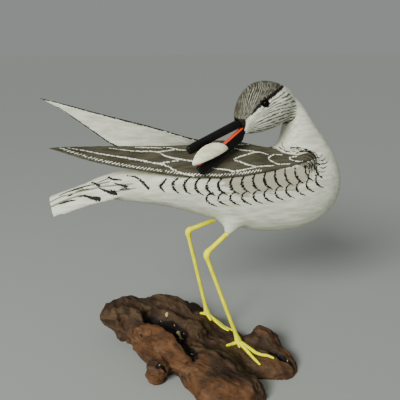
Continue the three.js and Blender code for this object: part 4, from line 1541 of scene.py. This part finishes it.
RUST = (
    Vein(((54, -20, 20), (57, -22, 19)), 4.0, 0.0, 0.45),
    Vein(((62, -26, 17),), 4.5, 0.0, 0.55),
    Vein(((68, -39, 11),), 4.0, 0.0, 0.5),
)


@dataclass
class Driftwood:
    """The burl that the bird stands on."""

    voxel: float = 0.74
    rounds: int = 45
    folds: float = 2.4
    dents: float = 3.6
    fibres: float = 0.9
    splinter: float = 0.55
    splinters: float = 9000.0
    seed: int = 4
    rest: Span = (1.5, 6.0)

    def build(self, nodes: Nodes, growth: Growth, finish: bpy.types.Material) -> bpy.types.Object:
        """Carve the piece and raise its relief.

        Args:
            nodes: The frame's nodes.
            growth: The Geometry Nodes trees.
            finish: Its material.

        Returns:
            The piece before its splinters are strewn, for the legs to stand on.
        """
        skin = Skin("Driftwood_base", nodes["driftwood_base"], self.voxel)
        low, high = (np.array(corner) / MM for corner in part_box("driftwood_base"))
        start = skin.points
        above = smooth_step(0.5, 4.0, start[:, 2])
        skin.relax(self.rounds, above)
        points = skin.points
        right, left = (clear_of(points, nodes[name], *self.rest) for name in ("right_leg", "left_leg"))
        free = above * (right * left)
        carved = (*LOBES, *HOLLOWS, *GROOVES, *CHIPS)
        push = sum(form.depth * form.near(points) for form in carved if form.depth)
        points -= (push * free)[:, None] * skin.normals
        skin.points = points
        skin.mark("free", free)
        for name, forms in (("lobe", LOBES), ("hollow", HOLLOWS), ("rust", RUST), ("chip", CHIPS)):
            skin.mark(name, np.max([form.near(points) for form in forms], axis=0))
        grow(
            skin.object,
            growth.relief,
            {
                "Grain": GRAIN,
                "Folds": self.folds * MM,
                "Dents": self.dents * MM,
                "Fibres": self.fibres * MM,
                "Seed": float(self.seed),
                "Material": finish,
            },
        )
        skin.points = np.clip(skin.points, low, high)
        return skin.object

    def strew(self, wood: bpy.types.Object, growth: Growth, finish: bpy.types.Material) -> None:
        """Strew splinters in the hollows and hand the piece over."""
        values = {
            "Density": self.splinters,
            "Size": self.splinter * MM,
            "Seed": self.seed,
            "Material": finish,
        }
        grow(wood, growth.splinters, values)
        hand_over(wood, "driftwood_base", finish)


@dataclass
class Leg:
    """A painted rod leg and its foot: chains of points with a girth at each. A toe has a turn and a reach."""

    node: str
    hip: Spot
    ankle: Spot
    foot: Place
    toes: tuple[Place, ...]
    socket: float = 7.0
    tibia: float = 3.4
    tarsus: float = 3.0
    joint: float = 5.2
    knuckle: float = 5.2
    toe: float = 2.9
    toe_tip: float = 1.6
    step: float = 0.5
    sides: int = 20
    sky: ClassVar[float] = 90.0

    def build(self, wood: BVHTree, growth: Growth, finish: bpy.types.Material) -> None:
        """Build and paint the piece.

        Args:
            wood: Answers rays at the driftwood.
            growth: The Geometry Nodes trees.
            finish: Its material.
        """
        foot = np.array((*self.foot, self._top(wood, *self.foot) + 0.3 * self.knuckle))
        chains = [self._shank(foot)] + [self._toe(wood, foot, turn, reach) for turn, reach in self.toes]
        points = np.vstack([chain for chain, _ in chains])
        girths = np.concatenate([girth for _, girth in chains])
        links, first = [], 0
        for chain, _ in chains:
            links += [(i, i + 1) for i in range(first, first + len(chain) - 1)]
            first += len(chain)
        mesh = bpy.data.meshes.new(self.node.capitalize())
        mesh.from_pydata([tuple(point * MM) for point in points], links, [])
        radii = mesh.attributes.new("girth", "FLOAT", "POINT").data
        radii.foreach_set("value", (girths * MM / 2).astype(np.float32))
        piece = bpy.data.objects.new(mesh.name, mesh)
        bpy.context.collection.objects.link(piece)
        grow(piece, growth.rods, {"Sides": self.sides, "Material": finish})
        hand_over(piece, self.node, finish)

    @staticmethod
    def _top(wood: BVHTree, x: float, y: float) -> float:
        """Return the height of the driftwood at a place."""
        spot, *_ = wood.ray_cast(Vector((x, y, Leg.sky)) * MM, Vector((0, 0, -1)))
        return spot.z / MM if spot else 0.0

    def _shank(self, foot: np.ndarray) -> tuple[np.ndarray, np.ndarray]:
        """Return the rod from inside the body to the foot, bent at the ankle, with its diameters."""
        hip, ankle = np.array(self.hip), np.array(self.ankle)
        up, down = hip - ankle, foot - ankle
        up_length, down_length = np.linalg.norm(up), np.linalg.norm(down)
        inside = hip + up / up_length * self.socket
        soften = 0.7 * self.joint
        before, after = ankle + up / up_length * soften, ankle + down / down_length * soften
        bend = np.linspace(0, 1, 9)[1:-1, None]
        curve = (1 - bend) ** 2 * before + 2 * bend * (1 - bend) * ankle + bend**2 * after

        def straight(start: np.ndarray, end: np.ndarray) -> np.ndarray:
            """Return points along a straight run."""
            count = max(2, round(np.linalg.norm(end - start) / self.step))
            return np.linspace(start, end, count)

        chain = np.vstack((straight(inside, before), curve, straight(after, foot)))
        to_ankle = np.linalg.norm(chain - ankle, axis=1)
        to_foot = np.linalg.norm(chain - foot, axis=1)
        shaft = np.where(chain[:, 2] > ankle[2], self.tibia, self.tarsus)
        girth = shaft + (self.joint - shaft) * np.exp(-((to_ankle / (0.8 * self.joint)) ** 2))
        girth += (self.knuckle - shaft) * np.exp(-((to_foot / (0.9 * self.knuckle)) ** 2))
        return chain, girth

    def _toe(
        self, wood: BVHTree, foot: np.ndarray, turn: float, reach: float
    ) -> tuple[np.ndarray, np.ndarray]:
        """Return a toe that follows the wood outwards from the foot, with its diameters."""
        heading = math.radians(turn)
        shares = np.linspace(0, 1, 7)
        knots = []
        for share in shares:
            x = foot[0] + math.cos(heading) * reach * share
            y = foot[1] + math.sin(heading) * reach * share
            girth = self.toe + (self.toe_tip - self.toe) * share
            knots.append((x, y, foot[2] if share == 0 else self._top(wood, x, y) + 0.32 * girth))
        chain = spline(knots, self.step)
        share = np.linspace(0, 1, len(chain))
        girth = self.toe + (self.toe_tip - self.toe) * share
        pads = 0.3 * np.exp(-(((share - 0.45) / 0.07) ** 2)) + 0.25 * np.exp(-(((share - 0.78) / 0.06) ** 2))
        tip = np.sqrt(np.clip((1 - share) * reach / (self.toe_tip / 2), 0.15, 1))
        return chain, (girth + pads) * tip


@dataclass
class Studio:
    """The camera, lamps and floor."""

    eye: Spot = (-76.9, -329.3, 229.0)
    down: float = 72.5
    swing: float = -15.0
    lens: float = 45.0
    aim: Spot = (10.0, 0.0, 100.0)
    rays: Spot = (0.6, 0.66, -0.48)
    softness: float = 24.0
    sunlight: float = 3.05
    room: Colour = (0.82, 0.84, 0.83, 1.0)
    room_light: float = 0.33
    floor: Colour = srgb(156, 160, 154)
    floor_reach: float = 9000.0

    def camera(self) -> None:
        """Place the camera where the photograph was taken from."""
        data = bpy.data.cameras.new("Camera")
        data.lens = self.lens
        data.sensor_width = 36.0
        data.clip_start = 0.01
        camera = bpy.data.objects.new("Camera", data)
        camera.location = Vector(self.eye) * MM
        camera.rotation_euler = (math.radians(self.down), 0.0, math.radians(self.swing))
        bpy.context.collection.objects.link(camera)
        bpy.context.scene.camera = camera

    def lamp(self, name: str, place: Spot, size: float, power: float) -> None:
        """Hang a square lamp that faces the bird."""
        data = bpy.data.lights.new(name, "AREA")
        data.size = size * MM
        data.energy = power
        lamp = bpy.data.objects.new(name, data)
        lamp.location = Vector(place) * MM
        lamp.rotation_euler = (Vector(self.aim) * MM - lamp.location).to_track_quat("-Z", "Y").to_euler()
        bpy.context.collection.objects.link(lamp)

    def sun(self) -> None:
        """Let soft light fall evenly on everything."""
        data = bpy.data.lights.new("Sun", "SUN")
        data.angle = math.radians(self.softness)
        data.energy = self.sunlight
        lamp = bpy.data.objects.new("Sun", data)
        lamp.rotation_euler = Vector(self.rays).to_track_quat("-Z", "Y").to_euler()
        bpy.context.collection.objects.link(lamp)

    def build(self) -> None:
        """Set the stage."""
        self.camera()
        self.sun()
        self.lamp("Key", (-600, -440, 520), 200, 4.0)
        world = bpy.data.worlds.new("Room")
        world.use_nodes = True
        background = world.node_tree.nodes["Background"]
        background.inputs["Color"].default_value = self.room
        background.inputs["Strength"].default_value = self.room_light
        bpy.context.scene.world = world
        reach = self.floor_reach * MM
        mesh = bpy.data.meshes.new("Floor")
        corners = [(-reach, -reach, 0), (reach, -reach, 0), (reach, reach, 0), (-reach, reach, 0)]
        mesh.from_pydata(corners, [], [(0, 1, 2, 3)])
        material, _, surface = blank("Floor")
        surface.inputs["Base Color"].default_value = self.floor
        surface.inputs["Roughness"].default_value = 0.85
        mesh.materials.append(material)
        floor = bpy.data.objects.new("Floor", mesh)
        bpy.context.collection.objects.link(floor)


def main() -> None:
    """Build the decoy's looks round the frame."""
    logging.basicConfig(level=logging.INFO, format="%(name)s: %(message)s")
    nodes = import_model()["nodes"]
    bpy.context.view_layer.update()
    Studio().build()
    effects = Effects()
    growth = Growth()
    white = BodyPaint().build(effects)
    taupe = WingPaint().build(effects)
    black = BillPaint().build(effects)
    cream = PlainPaint(
        "Cream paint", srgb(242, 243, 208), srgb(212, 213, 176), hair=(3.0, 1.0, 1.4)
    ).build(effects)
    yellow = PlainPaint(
        "Yellow paint", srgb(252, 250, 0), srgb(224, 220, 0), hair=(1.2, 1.2, 4.0), gloss=0.12
    ).build(effects)
    glass = BeadGlass().build()
    burl = BurlWood().build(effects)

    Body().build(nodes, white)
    Wings().build(nodes, taupe)
    for half in (
        Bill("upper_bill", (37.0, 178.4), (-3.4, 163.2), -1.0, (0.9, 0.99), droop=1.4),
        Bill("lower_bill", (38.6, 173.8), (3.8, 151.0), 1.0, (0.6, 0.8), swell=3.2, stretch=1.2),
    ):
        half.build(nodes, black)
    Feather().build(nodes, cream)
    for node in ("left_eye", "right_eye"):
        Eye(node).build(glass)
    driftwood = Driftwood()
    wood = driftwood.build(nodes, growth, burl)
    rays = BVHTree.FromObject(wood, bpy.context.evaluated_depsgraph_get())
    right_toes = ((-50, 30), (-70, 25), (-100, 6), (-165, 11))
    left_toes = ((-35, 22), (-46, 20), (-80, 7), (165, 6))
    for leg in (
        Leg("right_leg", (29.6, -14.0, 101.2), (11.4, -15.0, 86.0), (35.6, -21.0), right_toes),
        Leg("left_leg", (29.6, 14.0, 101.2), (5.4, 15.0, 93.2), (20.4, 11.5), left_toes),
    ):
        leg.build(rays, growth, yellow)
    driftwood.strew(wood, growth, burl)


if __name__ == "__main__":
    main()
